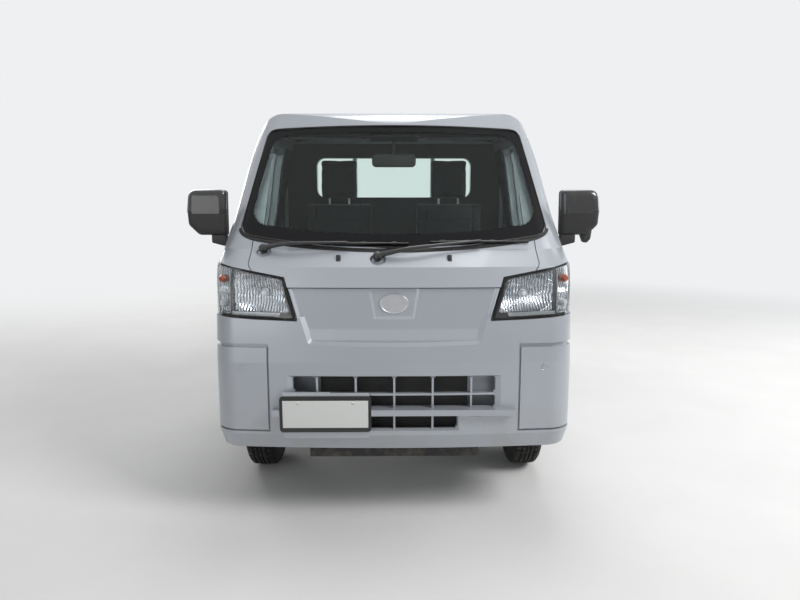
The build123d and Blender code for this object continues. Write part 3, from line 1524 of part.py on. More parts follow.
# Seats: cushion and back on a plinth, with a head restraint in one piece with the back
SEAT_X = 308.0
SEAT_HALF = 208.0
HEAD_HALF = 104.0
with BuildPart() as seat:
    add(side_prism([(640, DECK_TOP), (640, 730), (1110, 730), (1110, DECK_TOP)], SEAT_X - 180, SEAT_X + 180))
    add(
        side_prism(
            [(600, 730), (585, 800), (600, 838), (660, 850), (1050, 815), (1150, 780), (1150, 730)],
            SEAT_X - SEAT_HALF,
            SEAT_X + SEAT_HALF,
        )
    )
    add(
        side_prism(
            [(1040, 800), (1092, 1240), (1108, 1350), (1190, 1350), (1196, 1240), (1160, 780)],
            SEAT_X - SEAT_HALF + 8,
            SEAT_X + SEAT_HALF - 8,
        )
    )
    add(
        side_prism(
            [(1108, 1340), (1114, 1545), (1130, 1566), (1180, 1566), (1198, 1540), (1190, 1340)],
            SEAT_X - HEAD_HALF,
            SEAT_X + HEAD_HALF,
        )
    )
save(both_sides(seat.part), "seats")

# Cabin fittings: header trim with sun visors and the interior mirror
header = combined(box_between((-540, 540), (668, 690), (1640, 1760)), keep=[inner_form]).part
with BuildPart() as cabin_fittings:
    add(header)
    for low, high in ((-500, -110), (110, 500)):
        add(
            side_prism([(600, 1622), (604, 1630), (690, 1652), (690, 1640)], low, high)
        )
    add(bar_between((0, 680, 1650), (0, 510, 1545), 6))
    with Locations((0, at(505), 1523)):
        Box(206, 22, 62)
save(cabin_fittings, "cabin_fittings")

# Door mirrors on a foot at the front corner of each door window
MIRROR_OUTLINE = (
    # x, height, corner radius
    (727.0, 1194.0, 8.0),
    (846.0, 1194.0, 30.0),
    (890.0, 1238.0, 24.0),
    (894.0, 1300.0, 60.0),
    (884.0, 1388.0, 34.0),
    (724.0, 1389.0, 14.0),
)
MIRROR_FRONT = 310.0
MIRROR_REAR = 372.0
with BuildPart() as mirror_shell:
    with BuildSketch(Plane.XZ.offset(-at(MIRROR_REAR))) as outline:
        with BuildLine():
            Polyline(*[(x, height) for x, height, radius in MIRROR_OUTLINE], close=True)
        make_face()
        for x, height, radius in MIRROR_OUTLINE:
            fillet(outline.vertices().sort_by_distance((x, height, 0))[0], radius)
    extrude(amount=MIRROR_REAR - MIRROR_FRONT)
    fillet(mirror_shell.faces().sort_by(Axis.Y)[0].edges(), 20)
mirror_foot = front_prism(
    [(690, 1150), (738, 1146), (793, 1161), (793, 1200), (728, 1200), (728, 1182), (690, 1182)], 320, 364
)
under_mirror = front_prism([(812, 1215), (868, 1215), (863, 1176), (849, 1160), (833, 1160)], 330, 366)
mirror_head = combined(mirror_shell.part, extra=[mirror_foot]).part
save(combined(mirror_head, extra=[under_mirror], cuts=[outer_form]), "mirror_left")
save(combined(mirrored(mirror_head), cuts=[outer_form]), "mirror_right")

# Wipers parked along the foot of the windscreen
def on_screen(x, height, proud):
    """A place in front of the windscreen at this x and height."""
    crown = 55.0 * (x / (HALF_WIDTH - 8.5)) ** 2
    return (x, COWL_NOSE + (height - COWL_HEIGHT) * SCREEN_LEAN + crown - proud, height)


WIPERS = (
    # pivot x, pivot height, blade start x, blade end x, blade height
    (*PIVOTS[0], -440.0, 60.0, 1172.0),
    (*PIVOTS[1], 150.0, 560.0, 1178.0),
)
with BuildPart() as wipers:
    for pivot_x, pivot_z, start_x, end_x, blade_z in WIPERS:
        middle_x = (start_x + end_x) / 2
        points = [on_screen(x, blade_z, 14) for x in (start_x, middle_x, end_x)]
        add(bar_between(points[0], points[1], 6))
        add(bar_between(points[1], points[2], 6))
        crown = 50.0 * (pivot_x / HALF_WIDTH) ** 2
        base = (pivot_x, 75 + (pivot_z - CREASE_HEIGHT) * 1.12 + crown, pivot_z)
        foot = (pivot_x, base[1] + 24, pivot_z - 24)
        head = (pivot_x, base[1] - 20, pivot_z + 20)
        add(bar_between(foot, head, 11))
        add(bar_between(head, points[1], 6))
    add(combined(outer_form, cuts=pivot_pockets).part, mode=Mode.SUBTRACT)
save(wipers, "wipers")
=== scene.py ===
# A silver kei truck: full cab over the front wheels, ladder frame and drop-side load bed.
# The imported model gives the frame; every section below dresses or rebuilds one group of its pieces.
import math

import bpy
from mathutils import Matrix, Vector
from mathutils.kdtree import KDTree


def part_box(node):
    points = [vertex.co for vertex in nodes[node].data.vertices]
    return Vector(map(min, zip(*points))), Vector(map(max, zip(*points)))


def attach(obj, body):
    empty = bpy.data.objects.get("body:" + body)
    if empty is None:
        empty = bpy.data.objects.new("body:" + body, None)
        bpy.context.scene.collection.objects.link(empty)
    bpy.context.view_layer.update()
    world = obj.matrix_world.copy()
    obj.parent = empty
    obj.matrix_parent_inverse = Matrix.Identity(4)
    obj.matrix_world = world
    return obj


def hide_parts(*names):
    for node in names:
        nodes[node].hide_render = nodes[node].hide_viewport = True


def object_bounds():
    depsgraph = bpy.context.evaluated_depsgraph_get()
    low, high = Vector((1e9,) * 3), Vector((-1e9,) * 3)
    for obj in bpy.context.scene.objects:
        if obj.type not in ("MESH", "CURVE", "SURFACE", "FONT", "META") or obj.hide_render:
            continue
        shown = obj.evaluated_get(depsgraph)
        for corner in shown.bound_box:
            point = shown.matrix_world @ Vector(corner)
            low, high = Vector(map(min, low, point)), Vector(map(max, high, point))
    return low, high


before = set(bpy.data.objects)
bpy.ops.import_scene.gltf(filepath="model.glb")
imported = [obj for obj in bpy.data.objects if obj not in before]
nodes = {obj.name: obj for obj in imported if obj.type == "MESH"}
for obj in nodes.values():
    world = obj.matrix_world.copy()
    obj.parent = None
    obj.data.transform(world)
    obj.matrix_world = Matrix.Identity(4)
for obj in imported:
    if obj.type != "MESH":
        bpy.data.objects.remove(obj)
cad_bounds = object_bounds()


# View from dead ahead, a little above the headlamps, as a person stands in front of the truck.
# The lens is short and the camera looks slightly down.
def placed(name, data):
    """A new object in the scene that holds this data."""
    made = bpy.data.objects.new(name, data)
    bpy.context.scene.collection.objects.link(made)
    return made


FRONT = cad_bounds[0][1]
camera_data = bpy.data.cameras.new("front_view")
camera_data.sensor_width = 36.0
camera_data.lens = 27.05
camera = placed("front_view", camera_data)
camera.location = (0.0, FRONT - 2.306, 1.325)
camera.rotation_euler = (math.radians(90.0 - 9.0), 0.0, math.radians(-0.57))
bpy.context.scene.camera = camera


# Pale studio floor and soft light: a broad lamp overhead, a key lamp at the truck's front left, and
# fills before it, at its left and behind. The world is pale where it is seen, mirrored or looked at
# through glass.
class Socket:
    """A shader value or colour, with arithmetic that adds Math nodes."""

    def __init__(self, maker, socket):
        self.maker = maker
        self.socket = socket

    def join(self, operation, first, second=None):
        inputs = {0: first}
        if second is not None:
            inputs[1] = second
        return self.maker.node("ShaderNodeMath", {"operation": operation}, inputs)

    def __add__(self, other):
        return self.join("ADD", self, other)

    def __radd__(self, other):
        return self.join("ADD", other, self)

    def __sub__(self, other):
        return self.join("SUBTRACT", self, other)

    def __rsub__(self, other):
        return self.join("SUBTRACT", other, self)

    def __mul__(self, other):
        return self.join("MULTIPLY", self, other)

    def __truediv__(self, other):
        return self.join("DIVIDE", self, other)

    def __pow__(self, other):
        return self.join("POWER", self, other)

    def most(self, other):
        return self.join("MAXIMUM", self, other)

    def least(self, other):
        return self.join("MINIMUM", self, other)

    def size(self):
        return self.join("ABSOLUTE", self)

    def wave(self):
        return self.join("SINE", self)

    def step(self, low, high):
        """0 below low, 1 above high and smooth between."""
        return self.maker.node(
            "ShaderNodeMapRange",
            {"interpolation_type": "SMOOTHSTEP", "clamp": True},
            {"Value": self, "From Min": low, "From Max": high},
        )


class Finish:
    """One material under construction, on a Principled surface."""

    def __init__(self, name, **constants):
        self.material = bpy.data.materials.new(name)
        self.material.use_nodes = True
        self.tree = self.material.node_tree
        self.tree.nodes.clear()
        self.output = self.tree.nodes.new("ShaderNodeOutputMaterial")
        self.surface = self.tree.nodes.new("ShaderNodeBsdfPrincipled")
        self.tree.links.new(self.surface.outputs[0], self.output.inputs[0])
        self.object_place = None
        self.set(**constants)

    def feed(self, node, key, value):
        target = node.inputs[key]
        if isinstance(value, Socket):
            self.tree.links.new(value.socket, target)
        elif isinstance(value, (tuple, list)) and len(value) == 3 and target.type == "RGBA":
            target.default_value = (*value, 1.0)
        else:
            target.default_value = value

    def node(self, kind, settings=None, inputs=None, output=0):
        made = self.tree.nodes.new(kind)
        for key, value in (settings or {}).items():
            setattr(made, key, value)
        for key, value in (inputs or {}).items():
            self.feed(made, key, value)
        return Socket(self, made.outputs[output])

    def place(self, stretch=None):
        if self.object_place is None:
            self.object_place = self.node("ShaderNodeTexCoord", output="Object")
        if stretch:
            return self.node("ShaderNodeMapping", None, {0: self.object_place, "Scale": stretch})
        return self.object_place

    def axis(self, name):
        return self.node("ShaderNodeSeparateXYZ", None, {0: self.place()}, name)

    def noise(self, scale, detail=3.0, roughness=0.5, stretch=None):
        inputs = {"Vector": self.place(stretch), "Scale": scale, "Detail": detail, "Roughness": roughness}
        return self.node("ShaderNodeTexNoise", None, inputs)

    def cells(self, scale, stretch=None):
        inputs = {"Vector": self.place(stretch), "Scale": scale}
        return self.node("ShaderNodeTexVoronoi", {"feature": "F1"}, inputs, "Distance")

    def blend(self, amount, low, high):
        """low where amount is 0, high where it is 1."""
        mixed = self.tree.nodes.new("ShaderNodeMix")
        mixed.data_type = "RGBA"
        self.feed(mixed, 0, amount)
        self.feed(mixed, 6, low)
        self.feed(mixed, 7, high)
        return Socket(self, mixed.outputs[2])

    def bump(self, height, distance, strength=1.0):
        return self.node(
            "ShaderNodeBump", None, {"Strength": strength, "Distance": distance, "Height": height}
        )

    def set(self, **values):
        for key, value in values.items():
            self.feed(self.surface, key.replace("_", " "), value)

    def on(self, *names):
        """Assigns the finish to every slot of these CAD nodes."""
        for name in names:
            mesh = nodes[name].data
            if not mesh.materials:
                mesh.materials.append(self.material)
            for index in range(len(mesh.materials)):
                mesh.materials[index] = self.material


bpy.ops.object.select_all(action="DESELECT")
bpy.ops.mesh.primitive_plane_add(size=80.0, location=(0.0, 0.0, 0.0))
floor = bpy.context.object
floor.name = "studio_floor"
FLOOR_NEAR = 3.2
FLOOR_FAR = 8.0
floor_finish = Finish("pale_floor", Roughness=0.92)
floor_finish.set(
    Base_Color=floor_finish.blend(floor_finish.noise(2.2, 6.0), (0.70, 0.70, 0.69), (0.78, 0.78, 0.77))
)
distance = (floor_finish.axis("X") ** 2.0 + floor_finish.axis("Y") ** 2.0) ** 0.5
seen_ray = floor_finish.node("ShaderNodeLightPath", output="Is Camera Ray")
white = floor_finish.tree.nodes.new("ShaderNodeEmission")
floor_fade = floor_finish.tree.nodes.new("ShaderNodeMixShader")
floor_finish.feed(floor_fade, 0, distance.step(FLOOR_NEAR, FLOOR_FAR) * seen_ray)
floor_finish.tree.links.new(floor_finish.surface.outputs[0], floor_fade.inputs[1])
floor_finish.tree.links.new(white.outputs[0], floor_fade.inputs[2])
floor_finish.tree.links.new(floor_fade.outputs[0], floor_finish.output.inputs[0])
floor.data.materials.append(floor_finish.material)

BACKGROUND = (0.86, 0.87, 0.88, 1.0)
white.inputs[0].default_value = BACKGROUND
world = bpy.data.worlds.new("studio")
bpy.context.scene.world = world
world.use_nodes = True
world_tree = world.node_tree
world_tree.nodes.clear()
world_output = world_tree.nodes.new("ShaderNodeOutputWorld")
sky = world_tree.nodes.new("ShaderNodeBackground")
sky.inputs[0].default_value = BACKGROUND
light_path = world_tree.nodes.new("ShaderNodeLightPath")
seen = light_path.outputs["Is Camera Ray"]
for ray in ("Is Glossy Ray", "Is Transmission Ray"):
    either = world_tree.nodes.new("ShaderNodeMath")
    either.operation = "MAXIMUM"
    world_tree.links.new(seen, either.inputs[0])
    world_tree.links.new(light_path.outputs[ray], either.inputs[1])
    seen = either.outputs[0]
WORLD_LEVEL = 0.38
level = world_tree.nodes.new("ShaderNodeMapRange")
level.inputs["To Min"].default_value = WORLD_LEVEL
level.inputs["To Max"].default_value = 1.0
world_tree.links.new(seen, level.inputs["Value"])
world_tree.links.new(level.outputs[0], sky.inputs[1])
world_tree.links.new(sky.outputs[0], world_output.inputs[0])
LAMPS = (
    # name, place, aim, size, power
    ("overhead", (0.6, 1.4, 6.6), (0.0, 0.2, 0.6), 3.6, 150.0),
    ("key", (4.9, -4.2, 5.2), (0.0, -1.0, 0.8), 2.6, 330.0),
    ("front_fill", (-4.0, -7.5, 2.4), (0.0, -1.4, 0.9), 3.6, 60.0),
    ("side_fill", (6.5, 1.0, 2.6), (0.0, 0.2, 0.9), 3.2, 110.0),
    ("rear_fill", (-5.0, 6.5, 4.0), (0.0, 0.6, 0.8), 3.4, 190.0),
)
for name, place, aim, size, power in LAMPS:
    lamp_data = bpy.data.lights.new(name, "AREA")
    lamp_data.shape = "SQUARE"
    lamp_data.size = size
    lamp_data.energy = power
    lamp = placed(name, lamp_data)
    lamp.location = place
    lamp.rotation_euler = (Vector(aim) - Vector(place)).to_track_quat("-Z", "Y").to_euler()
bpy.context.scene.view_settings.view_transform = "Standard"

# Cab shell, front panels, doors and load bed: pressed steel sheet in silver metallic paint with a
# clear coat. Fine flake in the colour, orange peel in the coat and thin road dust low down.
SILVER_DARK = (0.315, 0.338, 0.372)
SILVER_LIGHT = (0.440, 0.466, 0.505)
ROAD_DUST = (0.33, 0.30, 0.26)


def silver_paint(name, dust_low, dust_high, dust_share):
    """Metallic paint whose dust fades between two heights."""
    paint = Finish(name, Metallic=0.35, Coat_Weight=0.4, Coat_Roughness=0.06)
    flake = paint.noise(1400.0, 2.0, 0.6)
    cloud = paint.noise(1.7, 3.0)
    height = paint.axis("Z")
    dust = (1.0 - height.step(dust_low, dust_high)) * paint.noise(8.0, 6.0, 0.62).step(0.38, 0.72)
    runs = paint.noise(30.0, 4.0, 0.6, (1.0, 1.0, 0.08)).step(0.58, 0.78)
    soil = (dust * dust_share + runs * 0.05).least(1.0)
    silver = paint.blend(flake * 0.7 + cloud * 0.3, SILVER_DARK, SILVER_LIGHT)
    paint.set(
        Base_Color=paint.blend(soil, silver, ROAD_DUST),
        Roughness=0.32 + soil * 0.35 + flake * 0.05,
        Normal=paint.bump(paint.noise(210.0, 2.0), 0.00003, 0.5),
    )
    return paint


body_paint = silver_paint("silver_body_paint", 0.28, 0.70, 0.35)
body_paint.on(
    "cab_back", "roof", "body_sides", "front_wings", "hood", "front_panel", "bumper",
    "door_left", "door_right", "cab_floor",
)


# Tools of the making, each used by many sections: they select in code, run one operator and leave
# the finished mesh at the origin.
def alone():
    """Leaves edit mode and selects nothing."""
    if bpy.context.object and bpy.context.object.mode != "OBJECT":
        bpy.ops.object.mode_set(mode="OBJECT")
    bpy.ops.object.select_all(action="DESELECT")


def take(piece):
    """Selects one piece, in object mode."""
    alone()
    piece.select_set(True)
    bpy.context.view_layer.objects.active = piece


def shaped(piece, kind, **settings):
    """Adds one modifier with its settings and applies it."""
    take(piece)
    modifier = piece.modifiers.new(kind.lower(), kind)
    for key, value in settings.items():
        setattr(modifier, key, value)
    bpy.ops.object.modifier_apply(modifier=modifier.name)
    return piece


def editing(piece, choose=None):
    """Edit mode, with everything selected or only the faces that choose(face) accepts."""
    take(piece)
    if choose:
        for vertex in piece.data.vertices:
            vertex.select = False
        for edge in piece.data.edges:
            edge.select = False
        for face in piece.data.polygons:
            face.select = bool(choose(face))
        bpy.ops.object.mode_set(mode="EDIT")
        bpy.ops.mesh.select_mode(type="FACE")
    else:
        bpy.ops.object.mode_set(mode="EDIT")
        bpy.ops.mesh.select_all(action="SELECT")


def outward(piece):
    """Merges doubles and turns every face outwards."""
    editing(piece)
    bpy.ops.mesh.remove_doubles(threshold=0.00002)
    bpy.ops.mesh.normals_make_consistent(inside=False)
    bpy.ops.object.mode_set(mode="OBJECT")
    return piece


def inset_face(piece, direction, thickness, depth):
    """Insets the faces that look in a direction and sinks them by a depth."""
    aim = Vector(direction)
    editing(piece, lambda face: face.normal.dot(aim) > 0.98)
    bpy.ops.mesh.inset(thickness=thickness, depth=-depth)
    bpy.ops.object.mode_set(mode="OBJECT")


def from_points(name, points, edges, faces):
    """A mesh of points with the edges or faces between them."""
    mesh = bpy.data.meshes.new(name)
    mesh.from_pydata([tuple(point) for point in points], edges, faces)
    return placed(name, mesh)


def block(name, low, high, edge, rounds=2):
    """A bevelled block between two corners, in metres."""
    alone()
    low, high = Vector(low), Vector(high)
    bpy.ops.mesh.primitive_cube_add(size=1.0, location=(low + high) / 2)
    piece = bpy.context.object
    piece.name = name
    piece.scale = high - low
    take(piece)
    bpy.ops.object.transform_apply(location=True, rotation=True, scale=True)
    return shaped(piece, "BEVEL", width=edge, segments=rounds)


def from_outline(name, points, travel, edge=0.0, rounds=2):
    """A flat outline of points, pushed along a travel and bevelled."""
    piece = from_points(name, points, [], [tuple(range(len(points)))])
    editing(piece)
    bpy.ops.mesh.extrude_region_move(TRANSFORM_OT_translate={"value": Vector(travel)})
    bpy.ops.mesh.select_all(action="SELECT")
    bpy.ops.mesh.normals_make_consistent(inside=False)
    bpy.ops.object.mode_set(mode="OBJECT")
    if edge:
        shaped(piece, "BEVEL", width=edge, segments=rounds, angle_limit=math.radians(25))
    return piece


def spun(name, profile, centre, axis, steps):
    """A profile of (along, radius) pairs turned about an axis through a centre."""
    axis = Vector(axis).normalized()
    side = axis.orthogonal().normalized()
    centre = Vector(centre)
    rim = [centre + axis * along + side * radius for along, radius in profile]
    piece = from_points(name, rim, [(index, index + 1) for index in range(len(rim) - 1)], [])
    editing(piece)
    bpy.ops.mesh.spin(steps=steps, angle=math.radians(360.0), center=centre, axis=axis)
    bpy.ops.object.mode_set(mode="OBJECT")
    return outward(piece)


def bent_tube(name, points, radius, sides=3, order=3, taper=None):
    """A round bar along a smooth line of points."""
    curve = bpy.data.curves.new(name, "CURVE")
    curve.dimensions = "3D"
    curve.bevel_depth = radius
    curve.bevel_resolution = sides
    curve.resolution_u = 6
    curve.use_fill_caps = True
    line = curve.splines.new("NURBS")
    line.points.add(len(points) - 1)
    for index, (spot, place) in enumerate(zip(line.points, points)):
        spot.co = (*place, 1.0)
        spot.radius = taper[index] if taper else 1.0
    line.order_u = order
    line.use_endpoint_u = True
    take(placed(name, curve))
    bpy.ops.object.convert(target="MESH")
    return outward(bpy.context.object)


def joined(name, pieces):
    """Several meshes as one piece."""
    alone()
    for piece in pieces:
        piece.select_set(True)
    bpy.context.view_layer.objects.active = pieces[0]
    if len(pieces) > 1:
        bpy.ops.object.join()
    whole = bpy.context.view_layer.objects.active
    whole.name = name
    return whole


def moved_copy(piece, name, travel):
    """A copy with its own mesh, moved."""
    other = placed(name, piece.data.copy())
    other.data.transform(Matrix.Translation(Vector(travel)))
    return other


def twin(piece, name):
    """The same piece on the other side of the centre plane, with its own mesh."""
    other = moved_copy(piece, name, (0.0, 0.0, 0.0))
    other.data.transform(Matrix.Scale(-1.0, 4, (1.0, 0.0, 0.0)))
    other.data.flip_normals()
    return other


def taken_from(node, name):
    """A merged copy of a CAD node's mesh."""
    piece = placed(name, nodes[node].data.copy())
    editing(piece)
    bpy.ops.mesh.remove_doubles(threshold=0.00002)
    bpy.ops.object.mode_set(mode="OBJECT")
    return piece


def kept_where(piece, choose):
    """Deletes the faces that choose(face) refuses."""
    editing(piece, lambda face: not choose(face))
    bpy.ops.mesh.delete(type="FACE")
    bpy.ops.object.mode_set(mode="OBJECT")
    return piece


def dressed(piece, finish, body="truck", smooth=32.0, stands_for=()):
    """Shades, colours and mounts a finished piece."""
    take(piece)
    bpy.ops.object.shade_smooth_by_angle(angle=math.radians(smooth))
    piece.data.materials.clear()
    piece.data.materials.append(finish.material)
    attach(piece, body)
    if stands_for:
        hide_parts(*stands_for)
    return piece


def dressed_pair(piece, name, finish, slot, bodies=("truck", "truck"), stands_for=((), ()), smooth=32.0):
    """Dresses a left piece and its twin on the right."""
    piece.name = name + "_left"
    pair = (piece, twin(piece, name + "_right"))
    for side_piece, body, replaced in zip(pair, bodies, stands_for):
        dressed(side_piece, finish, body, smooth, replaced)
    return pair


def at(x, distance, height):
    """A place at a distance behind the truck's front."""
    return (x, FRONT + distance, height)


def skin_at(node, x, z):
    """How far back a CAD node's front lies at this x and height, looked at from 3 m ahead."""
    hit, place, normal, index = nodes[node].ray_cast(Vector((x, -3.0, z)), Vector((0.0, 1.0, 0.0)))
    return place.y if hit else None


# Black moulded parts share two finishes: a fine leather grain for trim and a smooth gloss black.
grained_black = Finish("black_grained_plastic", Specular_IOR_Level=0.4)
grain = grained_black.cells(900.0)
scuff = grained_black.noise(22.0, 6.0, 0.65).step(0.55, 0.8)
grained_black.set(
    Base_Color=grained_black.blend(scuff * 0.5 + grain * 0.2, (0.018, 0.018, 0.019), (0.052, 0.051, 0.049)),
    Roughness=0.48 + scuff * 0.2,
    Normal=grained_black.bump(grain, 0.00012, 0.6),
)
gloss_black = Finish("gloss_black_plastic", Coat_Weight=0.7, Coat_Roughness=0.05)
haze = gloss_black.noise(40.0, 5.0, 0.6).step(0.5, 0.8)
gloss_black.set(
    Base_Color=gloss_black.blend(haze, (0.010, 0.010, 0.011), (0.030, 0.030, 0.031)),
    Roughness=0.18 + haze * 0.18,
)

# Headlamps: a clear moulded lens over a black bezel, a fluted bright reflector with its bulb, and
# at the corner the turn lamp's own chamber, with an amber bulb above and a clear one below.
LENS_WALL = 0.0025
BEZEL_DROP = 0.006
CHAMBER = (
    # x, height of the main reflector's corners: inner foot, outer foot, outer head, inner head
    (0.418, 0.899), (0.640, 0.905), (0.640, 1.063), (0.459, 1.030),
)
BULB = (0.522, 0.975)
FLUTE = 0.011
lamp_clear = Finish(
    "clear_lamp_lens", Base_Color=(0.93, 0.95, 0.96), Roughness=0.02, Transmission_Weight=1.0, IOR=1.35
)
lamp_clear.set(Normal=lamp_clear.bump(lamp_clear.noise(60.0, 2.0), 0.00005, 0.3))
bright = Finish("bright_reflector", Metallic=1.0)
tarnish = bright.noise(35.0, 4.0)
# Painted glints: the base colour runs in light and dark stripes at the flute pitch. This is a painted highlight
# and painted shade on each flute, mixed with real tarnish.
painted_flute_glint = (bright.axis("X") * 560.0 + bright.noise(26.0, 2.0) * 9.0).wave() * 0.5 + 0.5
bright.set(
    Base_Color=bright.blend(
        (painted_flute_glint * 0.75 + tarnish * 0.25).least(1.0), (0.16, 0.18, 0.21), (0.80, 0.82, 0.85)
    ),
    Roughness=0.12 + tarnish * 0.12,
)
amber = Finish("amber_bulb", Roughness=0.12, Coat_Weight=0.5)
amber.set(Base_Color=amber.blend(amber.noise(90.0, 2.0), (0.26, 0.036, 0.008), (0.42, 0.080, 0.018)))
milk = Finish("clear_bulb", Base_Color=(0.80, 0.83, 0.86), Roughness=0.08, Coat_Weight=0.6)
satin_trim = Finish("satin_lamp_trim", Metallic=0.7)
satin_trim.set(
    Base_Color=satin_trim.blend(satin_trim.noise(50.0, 3.0), (0.30, 0.31, 0.33), (0.46, 0.47, 0.49)),
    Roughness=0.30 + satin_trim.noise(300.0) * 0.1,
)
lamp_rubber = Finish("lamp_gasket_rubber", Specular_IOR_Level=0.3)
lamp_rubber.set(
    Base_Color=lamp_rubber.blend(
        lamp_rubber.noise(70.0, 4.0).step(0.5, 0.8), (0.006, 0.006, 0.007), (0.022, 0.021, 0.020)
    ),
    Roughness=0.5 + lamp_rubber.noise(400.0) * 0.15,
)
milk.set(Normal=milk.bump(milk.noise(120.0, 2.0), 0.0001, 0.3))


def on_lamp_face(face):
    """Whether a face of the left lamp's case lies on its outer skin."""
    normal = face.normal
    return face.center.x > 0.0 and abs(normal.z) < 0.7 and (normal.y < -0.15 or normal.x > 0.9)


lens = kept_where(taken_from("headlamps", "headlamp_lens_left"), on_lamp_face)
skin_copy = moved_copy(lens, "lamp_core_skin", (0.0, 0.0, 0.0))
shaped(lens, "SOLIDIFY", thickness=LENS_WALL, offset=-1.0)

# The black core is the case drawn back under the lens, with both chambers cut out of it.
core = kept_where(taken_from("headlamps", "headlamp_bezel_left"), lambda face: face.center.x > 0.0)
face_points = {
    tuple(round(value, 5) for value in vertex.co): vertex.normal.copy() for vertex in skin_copy.data.vertices
}
for vertex in core.data.vertices:
    lift = face_points.get(tuple(round(value, 5) for value in vertex.co))
    if lift is not None:
        vertex.co -= lift * BEZEL_DROP
bpy.data.objects.remove(skin_copy)
main_cutter = from_outline(
    "lamp_cutter", [(x, FRONT - 0.05, z) for x, z in CHAMBER], (0.0, 0.30, 0.0), 0.010, 3
)
turn_cutter = from_outline(
    "turn_cutter",
    [(0.655, FRONT, 0.893), (0.800, FRONT, 0.893), at(0.800, 0.180, 0.893),
     at(0.727, 0.180, 0.893), at(0.655, 0.118, 0.893)],
    (0.0, 0.0, 0.183), 0.003, 2,
)
for cutter in (main_cutter, turn_cutter):
    shaped(core, "BOOLEAN", operation="DIFFERENCE", object=cutter, solver="EXACT")
    bpy.data.objects.remove(cutter)

# Reflector bowl: a grid laid over the chamber, sunk towards the bulb and broken into upright flutes
alone()
bpy.ops.mesh.primitive_grid_add(x_subdivisions=150, y_subdivisions=70, size=2.0)
bowl = bpy.context.object
for vertex in bowl.data.vertices:
    across = (vertex.co.x + 1.0) / 2
    up = (vertex.co.y + 1.0) / 2
    foot = Vector(CHAMBER[0]).lerp(Vector(CHAMBER[1]), across)
    head = Vector(CHAMBER[3]).lerp(Vector(CHAMBER[2]), across)
    spot = foot.lerp(head, up)
    reach = math.hypot((spot.x - BULB[0]) / 0.125, (spot.y - BULB[1]) / 0.085)
    depth = 0.008 + 0.040 * (1.0 - min(1.0, reach) ** 2)
    fan = (spot.x - BULB[0]) * (1.0 + 0.8 * (spot.y - BULB[1]) / 0.09)
    if up > 0.42:
        depth += 0.0030 * abs(math.sin(math.pi * fan / FLUTE))
    else:
        depth += 0.0026 * abs(math.sin(math.pi * (spot.x * 0.9 + spot.y * 0.25) / FLUTE))
    outside = skin_at("headlamps", min(max(spot.x, 0.396), 0.70), min(max(spot.y, 0.882), 1.03))
    vertex.co = (spot.x, outside + depth, spot.y)
outward(bowl)
bulb = spun(
    "headlamp_bulb_left",
    ((0.0, 0.0), (0.002, 0.010), (0.010, 0.0125), (0.026, 0.0125), (0.030, 0.017), (0.036, 0.017)),
    (BULB[0], skin_at("headlamps", *BULB) + 0.012, BULB[1]), (0.0, 1.0, 0.0), 24,
)

# Turn lamp chamber: a slanted bright wall with upright flutes behind its two bulbs
alone()
bpy.ops.mesh.primitive_grid_add(x_subdivisions=90, y_subdivisions=40, size=2.0)
wall = bpy.context.object
TURN_FOOT = Vector((0.655, 0.112, 0.895))
TURN_HEAD = Vector((0.725, 0.176, 1.072))
for vertex in wall.data.vertices:
    across = (vertex.co.x + 1.0) / 2
    up = (vertex.co.y + 1.0) / 2
    ripple = 0.0015 * abs(math.sin(across * math.pi * 9))
    ledge = 0.010 * math.exp(-((up - 0.45) / 0.05) ** 2)
    vertex.co = (
        TURN_FOOT.x + (TURN_HEAD.x - TURN_FOOT.x) * across + ripple,
        FRONT + TURN_FOOT.y + (TURN_HEAD.y - TURN_FOOT.y) * across - ripple - ledge,
        TURN_FOOT.z + (TURN_HEAD.z - TURN_FOOT.z) * up,
    )
outward(wall)
turn_bulbs = []
for bulb_height in (1.030, 0.932):
    turn_bulbs.append(
        spun(
            "turn_bulb_left",
            (
                (-0.024, 0.0), (-0.022, 0.010), (-0.012, 0.0165), (0.0, 0.0175), (0.012, 0.015),
                (0.02, 0.013)
            ),
            at(0.688, 0.128, bulb_height), (-0.7, 1.0, 0.0), 24,
        )
    )
# Lamp trims: a satin sill under the reflector, a bright upright between the two chambers, and the
# rubber gasket that closes the joint to the panels along the head and the inner side
SILL_LINE = (
    (0.400, 0.881, 0.898), (0.460, 0.8825, 0.8985), (0.520, 0.884, 0.900), (0.580, 0.887, 0.902),
    (0.650, 0.890, 0.9035)
)
sill_points = []
for x, low, high in SILL_LINE:
    sill_points.append((x, skin_at("headlamps", x, low) + 0.0045, low))
for x, low, high in reversed(SILL_LINE):
    sill_points.append((x, skin_at("headlamps", x, high) + 0.0045, high))
sill_count = len(SILL_LINE)
sill = from_points(
    "lamp_sill", sill_points, [],
    [(n, n + 1, 2 * sill_count - 2 - n, 2 * sill_count - 1 - n) for n in range(sill_count - 1)],
)
shaped(sill, "SOLIDIFY", thickness=0.0016, offset=0.0)
shaped(sill, "BEVEL", width=0.0004, segments=2)
UPRIGHT_X = 0.658
UPRIGHT_HEIGHTS = (0.896, 0.935, 0.980, 1.025, 1.064)
upright = bent_tube(
    "lamp_upright",
    [(UPRIGHT_X, skin_at("headlamps", UPRIGHT_X, z) + 0.0060, z) for z in UPRIGHT_HEIGHTS], 0.0022, 2,
)
sill = joined("lamp_sill", [sill, upright])
GASKET_LINE = (
    (0.708, 1.0840), (0.640, 1.0720), (0.560, 1.0575), (0.500, 1.0465), (0.4445, 1.0360), (0.4395, 1.0250),
    (0.4265, 0.9740), (0.4105, 0.9230), (0.3980, 0.8810), (0.4030, 0.8745), (0.470, 0.8740), (0.560, 0.8770),
    (0.640, 0.8820), (0.690, 0.8860),
)
